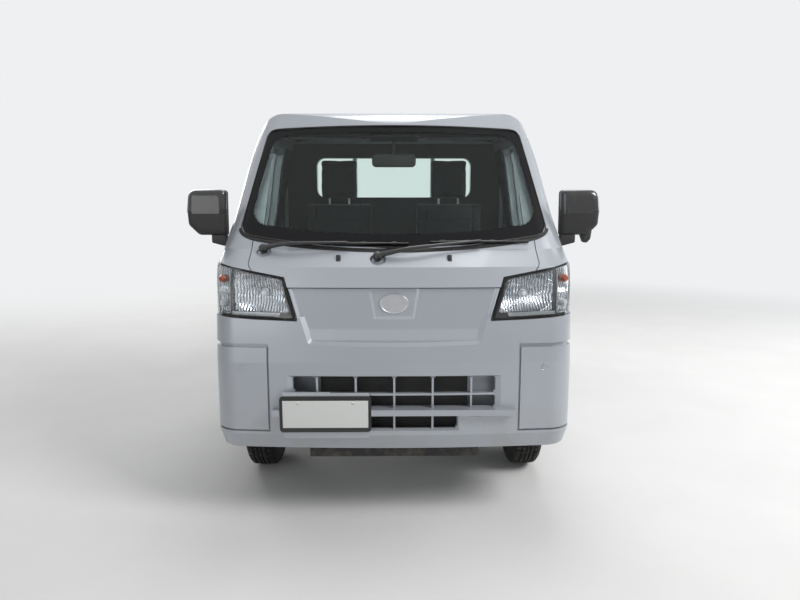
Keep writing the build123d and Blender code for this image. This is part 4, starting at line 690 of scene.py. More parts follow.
gasket = bent_tube(
    "lamp_gasket", [(x, skin_at("headlamps", x, z) + 0.0042, z) for x, z in GASKET_LINE], 0.0078, 3, 3,
    [0.7, 0.75, 0.8, 0.85, 1.0, 1.0, 1.0, 1.0, 0.95, 0.7] + [0.6] * 4,
)
lamp_parts = (
    (sill, "lamp_sill", satin_trim, "lamp"),
    (gasket, "lamp_gasket", lamp_rubber, "black_plastic"),
    (lens, "headlamp_lens", lamp_clear, "lamp"),
    (core, "headlamp_bezel", gloss_black, "black_plastic"),
    (bowl, "headlamp_reflector", bright, "lamp"),
    (wall, "turn_reflector", bright, "lamp"),
    (bulb, "headlamp_bulb", milk, "lamp"),
    (turn_bulbs[0], "turn_bulb", amber, "lamp"),
    (turn_bulbs[1], "marker_bulb", milk, "lamp"),
)
for piece, name, finish, slot in lamp_parts:
    replaced = ("headlamps",) if name == "headlamp_bezel" else ()
    dressed_pair(piece, name, finish, slot, stands_for=(replaced, replaced))

# Windscreen and rear window: laminated and toughened sheets, slightly green, bonded in from outside.
# The windscreen has a black printed border with rounded corners and a dotted edge.
SCREEN_EDGE = (
    # half width, height: the foot and the head of the visible sheet's sides
    (0.655, 1.204), (0.583, 1.668),
)
SCREEN_SAG = 0.052
SCREEN_CROWN = 0.018
BORDER = 0.034
BORDER_ROUND = 0.075
green_glass = Finish(
    "green_tinted_glass", Base_Color=(0.84, 0.92, 0.89), Roughness=0.0, Transmission_Weight=1.0, IOR=1.24
)
across = green_glass.axis("X").size()
height = green_glass.axis("Z")
side_slope = (SCREEN_EDGE[1][0] - SCREEN_EDGE[0][0]) / (SCREEN_EDGE[1][1] - SCREEN_EDGE[0][1])
inside_side = (height - SCREEN_EDGE[0][1]) * side_slope + (SCREEN_EDGE[0][0] - BORDER) - across
lift = (across / SCREEN_EDGE[0][0]) ** 2.0
inside_foot = height - (lift * SCREEN_SAG + (SCREEN_EDGE[0][1] - SCREEN_SAG + BORDER * 1.5))
inside_head = (SCREEN_EDGE[1][1] + SCREEN_CROWN - BORDER * 0.9) - height - lift * SCREEN_CROWN
nearer = inside_foot.least(inside_head)
corner = ((BORDER_ROUND - inside_side).most(0.0) ** 2.0 + (BORDER_ROUND - nearer).most(0.0) ** 2.0) ** 0.5
border_depth = BORDER_ROUND - corner
dots = green_glass.cells(170.0)
printed = (border_depth + (0.5 - dots) * 0.010).step(-0.0005, 0.0015)
front_sheet = 1.0 - green_glass.axis("Y").step(-0.9, -0.8)
printed = (1.0 - printed) * front_sheet
print_black = green_glass.tree.nodes.new("ShaderNodeBsdfPrincipled")
green_glass.feed(print_black, "Base Color", (0.004, 0.004, 0.005))
green_glass.feed(print_black, "Roughness", 0.25)
green_glass.feed(print_black, "Specular IOR Level", 0.2)
sheet_mix = green_glass.tree.nodes.new("ShaderNodeMixShader")
green_glass.feed(sheet_mix, 0, printed)
green_glass.tree.links.new(green_glass.surface.outputs[0], sheet_mix.inputs[1])
green_glass.tree.links.new(print_black.outputs[0], sheet_mix.inputs[2])
green_glass.tree.links.new(sheet_mix.outputs[0], green_glass.output.inputs[0])
green_glass.on("fixed_glass", "door_glass_left", "door_glass_right")

# Windscreen moulding: a thin black rubber lip pressed into the joint between the glass and the body
SCREEN_LOOP = (
    # x, height of the lip's corners on the left half, from the middle of the foot to the head's
    (0.0, 1.150), (0.33, 1.163), (0.55, 1.188), (0.622, 1.199), (0.650, 1.226), (0.640, 1.290),
    (0.618, 1.430), (0.596, 1.570), (0.584, 1.640), (0.565, 1.669), (0.50, 1.674), (0.25, 1.683),
    (0.0, 1.686),
)
rubber_seal = Finish("black_rubber_seal", Specular_IOR_Level=0.35)
seal_dust = rubber_seal.noise(60.0, 5.0).step(0.5, 0.8)
rubber_seal.set(
    Base_Color=rubber_seal.blend(seal_dust, (0.012, 0.012, 0.012), (0.045, 0.043, 0.040)),
    Roughness=0.55 + seal_dust * 0.25,
    Normal=rubber_seal.bump(rubber_seal.noise(900.0, 2.0), 0.00006, 0.5),
)


def front_place(x, z, proud):
    """A place in front of the windscreen or the panel around it."""
    nearest = [skin_at(node, x, z) for node in ("fixed_glass", "hood", "roof", "body_sides", "front_wings")]
    return Vector((x, min(y for y in nearest if y is not None) - proud, z))


screen_line = [front_place(x, z, 0.0) for x, z in SCREEN_LOOP]
screen_line += [Vector((-place.x, place.y, place.z)) for place in reversed(screen_line[1:-1])]
screen_lip = bent_tube("windscreen_lip", screen_line + [screen_line[0]], 0.0035, 2)
dressed(screen_lip, rubber_seal)

# Cowl seal: a flat black rubber strip that covers the joint between the windscreen's foot and the hood.
# It is partly the real seal and partly painted shade: its width also covers the band of shade that
# falls under the windscreen's foot.
COWL_LINE = (
    # x, height of the strip's upper edge; its width
    (0.0, 1.1530, 0.020), (0.16, 1.1560, 0.020), (0.33, 1.1655, 0.020), (0.45, 1.1760, 0.019),
    (0.55, 1.1900, 0.018), (0.605, 1.1985, 0.016), (0.638, 1.2100, 0.013), (0.6505, 1.2280, 0.009),
)
strip_line = [(-x, z, width) for x, z, width in reversed(COWL_LINE[1:])] + list(COWL_LINE)
strip_points = []
for index, (x, z, width) in enumerate(strip_line):
    before = strip_line[max(index - 1, 0)]
    after = strip_line[min(index + 1, len(strip_line) - 1)]
    along = Vector((after[0] - before[0], after[1] - before[1])).normalized()
    down = Vector((along.y, -along.x))
    for share in (-0.2, 0.0, 0.5, 1.0):
        spot = Vector((x, z)) + down * width * share
        strip_points.append(front_place(spot.x, spot.y, 0.0035 if share < 1.0 else 0.0015))
strip_faces = [
    (4 * n + k, 4 * n + k + 1, 4 * n + k + 5, 4 * n + k + 4)
    for n in range(len(strip_line) - 1) for k in range(3)
]
cowl_seal = from_points("cowl_seal", strip_points, [], strip_faces)
outward(cowl_seal)
shaped(cowl_seal, "SUBSURF", levels=2, render_levels=2)
shaped(cowl_seal, "SOLIDIFY", thickness=0.002, offset=0.0)
dressed(cowl_seal, rubber_seal, smooth=60.0)

# Rear window gasket: one moulded rubber ring with rounded corners, on the back panel
REAR_WINDOW = (0.462, 1.353, 1.606, 0.060)
back_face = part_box("cab_back")[1].y
half, foot_z, head_z, round_r = REAR_WINDOW
ring_points = []
for centre_x, centre_z, start in (
    (half - round_r, foot_z + round_r, -90), (half - round_r, head_z - round_r, 0),
    (-half + round_r, head_z - round_r, 90), (-half + round_r, foot_z + round_r, 180),
):
    for turn in (0, 30, 60, 90):
        angle = math.radians(start + turn)
        ring_points.append(
            (centre_x + round_r * math.cos(angle), back_face - 0.001, centre_z + round_r * math.sin(angle))
        )
gasket = bent_tube("rear_window_gasket", ring_points + [ring_points[0]], 0.008, 3)
dressed(gasket, rubber_seal)

# Washer nozzles: two small black moulded jets in the cowl
NOZZLE_X = 0.224
NOZZLE_Z = 1.107
NOZZLE_HALF = 0.009
nozzle_y = skin_at("hood", NOZZLE_X, NOZZLE_Z)
nozzle = from_outline(
    "washer_nozzle_left",
    [(NOZZLE_X - NOZZLE_HALF, nozzle_y + 0.020, NOZZLE_Z - 0.016),
     (NOZZLE_X + NOZZLE_HALF, nozzle_y + 0.020, NOZZLE_Z - 0.016),
     (NOZZLE_X + NOZZLE_HALF, nozzle_y - 0.009, NOZZLE_Z - 0.010),
     (NOZZLE_X - NOZZLE_HALF, nozzle_y - 0.009, NOZZLE_Z - 0.010)],
    (0.0, 0.010, 0.030), 0.003, 3,
)
dressed_pair(nozzle, "washer_nozzle", grained_black, "black_plastic")

# Wipers: a capped pivot, a tapering pressed arm with its hook, and a blade whose claws hold the rubber
WIPERS = (
    # name, pivot x, pivot height, blade start x, blade end x, blade height
    ("right", -0.535, 1.136, -0.440, 0.060, 1.170),
    ("left", -0.065, 1.108, 0.150, 0.560, 1.176),
)
wiper_steel = Finish("black_wiper_steel", Coat_Weight=0.3)
wear = wiper_steel.noise(45.0, 6.0, 0.6).step(0.55, 0.8)
wiper_steel.set(
    Base_Color=wiper_steel.blend(wear, (0.012, 0.012, 0.013), (0.05, 0.05, 0.05)),
    Roughness=0.3 + wear * 0.3
)
for name, pivot_x, pivot_z, start_x, end_x, blade_z in WIPERS:
    pivot_y = skin_at("hood", pivot_x, pivot_z)
    normal = Vector((0.0, -0.66, 0.75))
    pivot = Vector((pivot_x, pivot_y, pivot_z))
    cap = spun(
        "wiper_cap",
        ((-0.016, 0.013), (0.006, 0.014), (0.012, 0.019), (0.024, 0.019), (0.031, 0.013), (0.033, 0.0)),
        pivot, normal, 24,
    )
    middle_x = (start_x + end_x) / 2
    blade_places = [
        front_place(x, blade_z, 0.011) for x in (
            start_x, (start_x + middle_x) / 2, middle_x, (end_x + middle_x) / 2, end_x
        )
    ]
    elbow = pivot + normal * 0.022
    crest = blade_places[2] + Vector((0.0, -0.012, 0.004))
    knee = elbow.lerp(crest, 0.3) + Vector((0.0, -0.012, 0.012))
    arm = bent_tube(
        "wiper_arm", [elbow, elbow.lerp(knee, 0.5), knee, knee.lerp(crest, 0.5), crest], 0.0075, 3, 3,
        (1.5, 1.3, 1.1, 0.85, 0.7)
    )
    spine = bent_tube(
        "wiper_spine", [place + Vector((0.0, -0.006, 0.0)) for place in blade_places], 0.0045, 3, 3,
        (0.5, 0.9, 1.3, 0.9, 0.5)
    )
    rubber = bent_tube(
        "wiper_rubber", [place + Vector((0.0, 0.004, -0.002)) for place in blade_places], 0.0042, 2
    )
    parts = [cap, arm, spine]
    for share in (0.12, 0.37, 0.63, 0.88):
        x = start_x + (end_x - start_x) * share
        claw = front_place(x, blade_z, 0.010)
        parts.append(
            block("claw", claw - Vector((0.011, 0.007, 0.006)), claw + Vector((0.011, 0.008, 0.006)), 0.002)
        )
    wiper = joined(f"wiper_{name}", parts)
    dressed(wiper, wiper_steel, stands_for=("wipers",))
    rubber.name = f"wiper_rubber_{name}"
    dressed(rubber, rubber_seal)

# Door mirrors: a grained housing with a gloss black cap, a silvered glass that looks back, and a
# short moulded arm on the door. The left one carries a small black pod under it.
MIRROR_OUTLINE = (
    # x, height, corner radius of the head seen from the front
    (0.7275, 1.1945, 0.008), (0.8455, 1.1945, 0.030), (0.8895, 1.2380, 0.024), (0.8935, 1.3000, 0.060),
    (0.8835, 1.3875, 0.034), (0.7245, 1.3885, 0.014),
)
MIRROR_SPLIT = 1.288
mirror_glass = Finish("silvered_mirror", Metallic=1.0, Roughness=0.02)
mirror_glass.set(
    Base_Color=mirror_glass.blend(mirror_glass.noise(6.0), (0.80, 0.83, 0.84), (0.87, 0.89, 0.90))
)


def rounded(corners, steps=5):
    """A closed outline of (across, up, radius) corners as points, each corner turned in steps."""
    points = []
    for index, (across, up, radius) in enumerate(corners):
        here = Vector((across, up))
        before = Vector(corners[index - 1][:2]) - here
        after = Vector(corners[(index + 1) % len(corners)][:2]) - here
        half = before.angle(after) / 2
        reach = radius / math.tan(half)
        start, end = here + before.normalized() * reach, here + after.normalized() * reach
        centre = here + (before.normalized() + after.normalized()).normalized() * (radius / math.sin(half))
        first, last = start - centre, end - centre
        turn = first.angle_signed(last)
        for step in range(steps + 1):
            angle = -turn * step / steps
            spot = Vector(
                (
                    first.x * math.cos(angle) - first.y * math.sin(angle),
                    first.x * math.sin(angle) + first.y * math.cos(angle)
                )
            )
            points.append(centre + spot)
    return points


def stacked(name, rings, closed_ends=True):
    """A skin through rings of points, each with the same number of points."""
    count = len(rings[0])
    points = [point for ring in rings for point in ring]
    faces = []
    for level in range(len(rings) - 1):
        for index in range(count):
            following = (index + 1) % count
            low, high = level * count, (level + 1) * count
            faces.append((low + index, low + following, high + following, high + index))
    if closed_ends:
        faces.append(tuple(reversed(range(count))))
        faces.append(tuple(range((len(rings) - 1) * count, len(rings) * count)))
    piece = from_points(name, points, [], faces)
    editing(piece)
    bpy.ops.mesh.normals_make_consistent(inside=False)
    bpy.ops.object.mode_set(mode="OBJECT")
    return piece


def shrunk_rings(line, middle, levels):
    """Rings of one outline about its middle, for levels of (distance behind the front, share of its size)."""
    return [
        [
            (middle.x + (spot.x - middle.x) * share, FRONT + depth, middle.y + (spot.y - middle.y) * share)
            for spot in line
        ]
        for depth, share in levels
    ]


HEAD_RINGS = (
    # distance behind the front, share of the outline's size
    (0.3105, 0.70), (0.3125, 0.83), (0.3165, 0.91), (0.3225, 0.965), (0.3320, 0.993), (0.3450, 1.0),
    (0.3690, 1.0), (0.3715, 0.985), (0.3715, 0.945), (0.3665, 0.93),
)
head_line = rounded(MIRROR_OUTLINE)
head_middle = Vector((0.810, 1.295))
head_rings = shrunk_rings(head_line, head_middle, HEAD_RINGS)
shell = stacked("mirror_housing_left", head_rings)
silver = kept_where(
    moved_copy(shell, "mirror_glass_left", (0.0, 0.0015, 0.0)),
    lambda face: len(face.vertices) > 4 and face.normal.y > 0.9
)
shaped(silver, "SOLIDIFY", thickness=0.0012, offset=0.0)
cap_rings = [
    [(x, y, max(z, MIRROR_SPLIT)) for x, y, z in ring] for ring in head_rings[:6]
]
cap = stacked("mirror_cap_left", cap_rings, False)
cap = kept_where(cap, lambda face: face.area > 1e-9)
cap_front = from_outline("cap_front", cap_rings[0], (0.0, 0.0006, 0.0))
cap = joined("mirror_cap_left", [cap, cap_front])
shaped(cap, "SOLIDIFY", thickness=0.0014, offset=0.9)
foot = from_outline(
    "mirror_foot",
    [at(0.706, 0.322, 1.1505), at(0.738, 0.322, 1.1475), at(0.792, 0.322, 1.1620),
     at(0.792, 0.322, 1.198), at(0.7285, 0.322, 1.198), at(0.7285, 0.322, 1.181),
     at(0.706, 0.322, 1.181)],
    (0.0, 0.040, 0.0), 0.005, 3,
)
shell = joined("mirror_housing_left", [shell, foot])
for piece, name, finish, slot in (
    (shell, "mirror_housing", grained_black, "black_plastic"),
    (cap, "mirror_cap", gloss_black, "black_plastic"),
    (silver, "mirror_glass", mirror_glass, "black_plastic"),
):
    replaced = (("mirror_left",), ("mirror_right",)) if name == "mirror_housing" else ((), ())
    dressed_pair(piece, name, finish, slot, ("left_door", "right_door"), replaced)
POD_OUTLINE = (
    (0.8125, 1.2145, 0.002), (0.8325, 1.1605, 0.012), (0.8490, 1.1605, 0.010), (0.8625, 1.1765, 0.012),
    (0.8675, 1.2145, 0.002),
)
pod_line = rounded(POD_OUTLINE)
pod_middle = Vector((0.841, 1.190))
POD_RINGS = (
    (0.3305, 0.80), (0.3330, 0.93), (0.3400, 1.0), (0.3640, 1.0), (0.3655, 0.97), (0.3655, 0.90),
    (0.3625, 0.88),
)
pod_rings = shrunk_rings(pod_line, pod_middle, POD_RINGS)
under_mirror = stacked("under_mirror_left", pod_rings)
dressed(under_mirror, grained_black, "left_door")

# Front bumper fittings: painted parking sensors with their rings, the tow eye's cover and the
# black surround of the number plate with a blank pale plate and two screws.
SENSOR = (0.607, 0.679)
for side in (1, -1):
    sensor_y = skin_at("bumper", SENSOR[0], SENSOR[1])
    sensor = spun(
        "parking_sensor_left" if side > 0 else "parking_sensor_right",
        (
            (0.004, 0.0145), (-0.0012, 0.0145), (-0.0018, 0.0135), (-0.0006, 0.0118), (-0.0006, 0.0105),
            (-0.0024, 0.0095), (-0.003, 0.0)
        ),
        (side * SENSOR[0], sensor_y, SENSOR[1]), (0.0, 1.0, 0.0), 32,
    )
    dressed(sensor, body_paint)
tow_y = skin_at("bumper", 0.330, 0.455)
tow_cover = block("tow_eye_cover", (0.306, tow_y - 0.0016, 0.436), (0.352, tow_y + 0.01, 0.480), 0.0015)
inset_face(tow_cover, (0.0, -1.0, 0.0), 0.004, 0.0006)
dressed(tow_cover, body_paint)

PLATE_LOW = (-0.460, 0.420)
PLATE_HIGH = (-0.092, 0.569)
PLATE_FRONT = 0.002
PLATE_BACK = 0.012
plate_metal = Finish("pale_plate_face", Coat_Weight=0.3, Coat_Roughness=0.2)
road_spots = plate_metal.noise(120.0, 5.0, 0.7).step(0.62, 0.75)
plate_metal.set(
    Base_Color=plate_metal.blend(road_spots * 0.6, (0.62, 0.63, 0.62), (0.40, 0.38, 0.34)),
    Roughness=0.35 + road_spots * 0.3,
)
surround_corners = (
    (PLATE_LOW[0], PLATE_LOW[1], 0.014), (PLATE_HIGH[0], PLATE_LOW[1], 0.014),
    (PLATE_HIGH[0], PLATE_HIGH[1], 0.014), (PLATE_LOW[0], PLATE_HIGH[1], 0.014),
)
surround_line = [(spot.x, FRONT + PLATE_FRONT + 0.001, spot.y) for spot in rounded(surround_corners)]
surround = from_outline(
    "number_plate_surround", surround_line, (0.0, PLATE_BACK - PLATE_FRONT - 0.001, 0.0), 0.0018, 2
)
inset_face(surround, (0.0, -1.0, 0.0), 0.0095, 0.0025)
dressed(surround, grained_black, stands_for=("number_plates",))
plate_face = block(
    "front_plate_face", (PLATE_LOW[0] + 0.0125, FRONT + PLATE_FRONT + 0.0022, PLATE_LOW[1] + 0.0185),
    (PLATE_HIGH[0] - 0.0125, FRONT + PLATE_FRONT + 0.0036, PLATE_HIGH[1] - 0.0175), 0.0005, 2,
)
inset_face(plate_face, (0.0, -1.0, 0.0), 0.004, -0.0006)
dressed(plate_face, plate_metal)
rear_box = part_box("number_plates")
REAR_PLATE_LOW = (-0.165, 0.392)
REAR_PLATE_HIGH = (0.165, 0.557)
rear_plate_piece = block(
    "rear_plate_face", (REAR_PLATE_LOW[0], rear_box[1].y - 0.0035, REAR_PLATE_LOW[1]),
    (REAR_PLATE_HIGH[0], rear_box[1].y, REAR_PLATE_HIGH[1]), 0.0008, 2,
)
inset_face(rear_plate_piece, (0.0, 1.0, 0.0), 0.005, -0.0006)
dressed(rear_plate_piece, plate_metal)
bright_screw = Finish("plated_screw", Metallic=1.0)
bright_screw.set(
    Base_Color=bright_screw.blend(bright_screw.noise(300.0, 3.0), (0.42, 0.42, 0.41), (0.66, 0.66, 0.65)),
    Roughness=0.28 + bright_screw.noise(500.0) * 0.2,
)
SCREWS = (
    # x, height, side that the head faces: -1 front, 1 back
    (-0.386, 0.541, -1), (-0.166, 0.541, -1), (-0.105, 0.533, 1), (0.105, 0.533, 1),
)
heads = []
for x, z, facing in SCREWS:
    seat_y = FRONT + PLATE_FRONT + 0.0016 if facing < 0 else rear_box[1].y
    heads.append(
        spun(
            "screw", ((-0.004, 0.006), (0.0, 0.0062), (0.0012, 0.005), (0.0018, 0.0025), (0.0018, 0.0)),
            (x, seat_y if facing < 0 else seat_y - 0.0012, z), (0.0, facing, 0.0), 16,
        )
    )
dressed(joined("plate_screws", heads), bright_screw)

# Badge place: a bare satin disc in its recess, with no mark on it
BADGE = (0.0, 0.936, 0.058, 0.041)
badge_y = skin_at("front_panel", BADGE[0], BADGE[1])
badge = spun(
    "bare_badge_disc",
    (
        (0.006, 0.050), (-0.0035, 0.050), (-0.0050, 0.0485), (-0.0050, 0.046), (-0.0038, 0.044),
        (-0.0038, 0.0)
    ),
    (0.0, badge_y, 0.0), (0.0, 1.0, 0.0), 48,
)
badge.data.transform(Matrix.Diagonal((BADGE[2] / 0.050, 1.0, BADGE[3] / 0.050, 1.0)))
badge.data.transform(Matrix.Translation((BADGE[0], 0.0, BADGE[1])))
satin_bright = Finish("satin_bright_trim", Metallic=0.9)
satin_bright.set(
    Base_Color=satin_bright.blend(satin_bright.noise(60.0, 4.0), (0.50, 0.51, 0.53), (0.62, 0.63, 0.65)),
    Roughness=0.24 + satin_bright.noise(800.0) * 0.08,
)
dressed(badge, satin_bright, smooth=20.0)

# Front bumper: one hollow moulding with two mouths cut through it. Each mouth has a slanted edge that
# runs back to thin blades, which are set in from behind.
MOUTHS = (
    # half width, foot and head of the hole; how far the slant reaches past the side, foot and head
    (0.4025, 0.5132, 0.6370, 0.026, 0.000, 0.011),
    (0.2475, 0.4275, 0.4865, 0.016, 0.008, 0.000),
)
SLANT = 0.012
MOUTH_STEPS = 12
BLADE = 0.0085
CROSS_HALF = 0.406
CROSS_FOOT = 0.5655
FACE_UNDER = 0.410
FACE_OVER = 0.662


def mouth_face(x, low_mouth):
    """How far back the bumper's own face lies over the high mouth or under the low one."""
    return skin_at("bumper", x, FACE_UNDER if low_mouth else FACE_OVER)


def keep_shading(piece, node):
    """Gives a cut piece's corners the shading of the node's faces, matched by place and by facing."""
    source = nodes[node].data
    facings = [face.normal.copy() for face in source.polygons for corner in face.loop_indices]
    corners = [corner for face in source.polygons for corner in face.loop_indices]
    places = KDTree(len(corners))
    for number, corner in enumerate(corners):
        places.insert(source.vertices[source.loops[corner].vertex_index].co, number)
    places.balance()
    shading = []
    for face in piece.data.polygons:
        for corner in face.loop_indices:
            spot = piece.data.vertices[piece.data.loops[corner].vertex_index].co
            near = [found[1] for found in places.find_range(spot, 0.00005)]
            best = max(near, key=lambda number: facings[number].dot(face.normal), default=None)
            if best is None or facings[best].dot(face.normal) < 0.9:
                shading.append(face.normal.copy())
            else:
                shading.append(source.corner_normals[corners[best]].vector.copy())
    piece.data.normals_split_custom_set(shading)


moulding = taken_from("bumper", "bumper_moulding")
blades = []
for number, (half_width, foot, head, side_reach, foot_reach, head_reach) in enumerate(MOUTHS):
    rings = []
    for offset, share in ((-SLANT, 2.0), (SLANT, 0.0), (0.090, 0.0)):
        half = half_width + side_reach * share
        low, high = foot - foot_reach * share, head + head_reach * share
        outline = [(-half + 2 * half * n / MOUTH_STEPS, low) for n in range(MOUTH_STEPS + 1)]
        outline += [(half - 2 * half * n / MOUTH_STEPS, high) for n in range(MOUTH_STEPS + 1)]
        rings.append([(x, mouth_face(x, number) + offset, z) for x, z in outline])
    cutter = stacked("mouth_cutter", rings)
    shaped(moulding, "BOOLEAN", operation="DIFFERENCE", object=cutter, solver="EXACT")
    bpy.data.objects.remove(cutter)
    for x in ((-0.155, 0.0, 0.155) if number else (-0.311, -0.155, 0.0, 0.155, 0.311)):
        face_y = mouth_face(x, number)
        blades.append(
            block(
                "blade", (x - BLADE / 2, face_y + 0.007, foot - 0.004),
                (x + BLADE / 2, face_y + 0.028, head + 0.003), 0.0012
            )
        )
cross_line = [(-CROSS_HALF + 2 * CROSS_HALF * n / MOUTH_STEPS) for n in range(MOUTH_STEPS + 1)]
cross_points = [(x, mouth_face(x, 0) + 0.0055, CROSS_FOOT) for x in cross_line]
cross_points += [(x, mouth_face(x, 0) + 0.0290, CROSS_FOOT) for x in reversed(cross_line)]
blades.append(from_outline("blade", cross_points, (0.0, 0.0, BLADE), 0.0012))
dressed(moulding, body_paint, stands_for=("bumper",))
keep_shading(moulding, "bumper")
plate_carrier = block("plate_carrier", at(-0.4495, 0.0105, 0.3890), at(-0.1005, 0.0260, 0.5805), 0.0045, 3)
dressed(plate_carrier, body_paint, stands_for=("bumper",))
dressed(joined("grille_blades", blades), body_paint, stands_for=("bumper",))

# Front panel: pressed sheet set back behind its rim, with a straight crease over a foot that slopes
# out, and a shallow recess for the badge that is open at its head.
PANEL_PROFILE = (
    # height, distance behind the front on the centre line
    (0.9965, 0.0561), (0.8345, 0.0479), (0.8305, 0.0473), (0.7880, 0.0392), (0.7760, 0.0430),
    (0.7640, 0.0490),
)
PANEL_CROWN = 0.068
PANEL_STEP = 0.004
RIM_RISE = 0.0098
RECESS_SINK = 0.0042


def eased(share):
    """A share from 0 to 1, eased at both ends."""
    share = min(1.0, max(0.0, share))
    return share * share * (3.0 - 2.0 * share)


def panel_sides(z):
    """Half widths of the panel's face and of the rim around it at a height."""
    inner = 0.3530 + 0.237 * (z - 0.796)
    return inner, 0.3822 + 0.2951 * (z - 0.866) if z > 0.866 else inner + 0.0126


def panel_face(x, z):
    """How far behind the front the panel's face lies."""
    for (high, near_y), (low, far_y) in zip(PANEL_PROFILE, PANEL_PROFILE[1:]):
        if z >= low:
            break
    depth = near_y + (far_y - near_y) * (high - z) / (high - low) + PANEL_CROWN * x * x
    inner, outer = panel_sides(z)
    depth -= RIM_RISE * eased((abs(x) - inner) / (outer - inner))
    recess_half = 0.0775 + 0.16 * (z - 0.878)
    inside = min(recess_half - abs(x), z - 0.879)
    return depth + RECESS_SINK * eased(inside / 0.007 + 0.5)


rows = int((PANEL_PROFILE[0][0] - PANEL_PROFILE[-1][0]) / PANEL_STEP)
columns = int(0.84 / PANEL_STEP)
panel_points = []
for row in range(rows + 1):
    z = PANEL_PROFILE[0][0] - (PANEL_PROFILE[0][0] - PANEL_PROFILE[-1][0]) * row / rows
    half = panel_sides(z)[1]
    for column in range(columns + 1):
        x = half * (2.0 * column / columns - 1.0)
        panel_points.append((x, FRONT + panel_face(x, z), z))
panel_faces = [
    (row * (columns + 1) + column, (row + 1) * (columns + 1) + column,
     (row + 1) * (columns + 1) + column + 1, row * (columns + 1) + column + 1)
    for row in range(rows) for column in range(columns)
]
panel_sheet = from_points("front_panel_sheet", panel_points, [], panel_faces)
shaped(panel_sheet, "SOLIDIFY", thickness=0.0015, offset=-1.0)
dressed(panel_sheet, body_paint, smooth=40.0, stands_for=("front_panel",))

# Seats: padded cushions, backs and head restraints in dark woven cloth over a black plinth. Each
# cover is swollen over its foam as cloth, then its sewn channels are pulled in.
SEAT_MIDDLE = 0.308
CUSHION_SIDE = (
    # distance behind the front, height
    (0.606, 0.742), (0.594, 0.800), (0.606, 0.830), (0.662, 0.842), (1.045, 0.808), (1.138, 0.772),
    (1.138, 0.742),
)
BACK_SIDE = (
    (1.058, 0.812), (1.106, 1.236), (1.122, 1.338), (1.178, 1.338), (1.184, 1.236), (1.150, 0.800),
)
HEAD_SIDE = (
    (1.116, 1.356), (1.122, 1.545), (1.140, 1.574), (1.170, 1.576), (1.186, 1.548), (1.178, 1.356),
)
WEAVE = 1500.0
SEAM_DEPTH = 0.0045
SEAM_WIDTH = 0.005
seat_cloth = Finish("dark_woven_cloth", Specular_IOR_Level=0.25, Sheen_Weight=0.25, Sheen_Roughness=0.5)
thread_a = (seat_cloth.axis("X") * WEAVE).wave()
thread_b = ((seat_cloth.axis("Z") + seat_cloth.axis("Y")) * WEAVE).wave()
weave = (thread_a * thread_b) * 0.5 + 0.5
fluff = seat_cloth.noise(900.0, 3.0)
fade = seat_cloth.noise(5.0, 4.0).step(0.4, 0.75)
seat_cloth.set(
    Base_Color=seat_cloth.blend(
        (weave * 0.55 + fluff * 0.3 + fade * 0.15).least(1.0), (0.016, 0.017, 0.019), (0.058, 0.060, 0.064)
    ),
    Roughness=0.86 + fluff * 0.1,
    Normal=seat_cloth.bump(weave * 0.6 + fluff * 0.4, 0.0006, 0.7),
)


def swollen(piece, voxel, most):
    """Covers a closed form in cloth, swells it under pressure and keeps the result."""
    shaped(piece, "REMESH", mode="VOXEL", voxel_size=voxel)
    resting = [vertex.co.copy() for vertex in piece.data.vertices]
    take(piece)
    cover = piece.modifiers.new("cover", "CLOTH")
    cover.settings.use_pressure = True
    cover.settings.uniform_pressure_force = 4.0
    cover.settings.effector_weights.gravity = 0.0
    cover.settings.quality = 4
    cover.point_cache.frame_start = 1
    cover.point_cache.frame_end = 20
    for number in range(1, 21):
        bpy.context.scene.frame_set(number)
    filled = piece.evaluated_get(bpy.context.evaluated_depsgraph_get())
    for vertex, swelled, start in zip(
        piece.data.vertices, [v.co.copy() for v in filled.data.vertices], resting
    ):
        travel = swelled - start
        vertex.co = start + travel.normalized() * min(travel.length, most)
    piece.modifiers.remove(cover)
    bpy.context.scene.frame_set(1)
    return shaped(piece, "SUBSURF", levels=1, render_levels=1)


def sewn(piece, across, depth, width):
    """Pulls the cover in along seams. across(point) gives the distance to the nearest seam."""
    for vertex in piece.data.vertices:
        pull = depth * math.exp(-((across(vertex.co) / width) ** 2))
        vertex.co -= vertex.normal * pull


def seat_seams(spot):
    """Distance to the bolster seams and the cross seams of the left seat. The head has none."""
    bolster = abs(abs(spot.x - SEAT_MIDDLE) - 0.128)
    if spot.z > 1.36:
        return 1.0
    if spot.z > 0.86:
        return min(bolster, abs(spot.z - 1.235))
    return min(bolster, abs(spot.y - FRONT - 0.720))


pads = []
for name, side, half_width, voxel, most in (
    ("seat_cushion", CUSHION_SIDE, 0.198, 0.009, 0.010),
    ("seat_back", BACK_SIDE, 0.190, 0.009, 0.010),
    ("head_restraint", HEAD_SIDE, 0.101, 0.007, 0.009),
):
    pad = from_outline(
        name + "_left", [at(SEAT_MIDDLE - half_width, distance, height) for distance, height in side],
        (2 * half_width, 0.0, 0.0), 0.020, 3,
    )
    swollen(pad, voxel, most)
    sewn(pad, seat_seams, SEAM_DEPTH, SEAM_WIDTH)
    pads.append(pad)
for pad in pads:
    name = pad.name.replace("_left", "")
    replaced = ("seats",) if name == "seat_cushion" else ()
    for side_pad in dressed_pair(
        pad, name, seat_cloth, "seat_cloth", stands_for=(replaced, replaced), smooth=60.0
    ):
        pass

# Seat frames: a black plinth with its slides, two plated posts under each head restraint and a
# recliner cover at the outer side
RECLINER = (
    # distance behind the front, height
    (0.98, 0.745), (0.98, 0.800), (1.050, 0.868), (1.150, 0.868), (1.170, 0.745),
)
plinths = []
posts = []
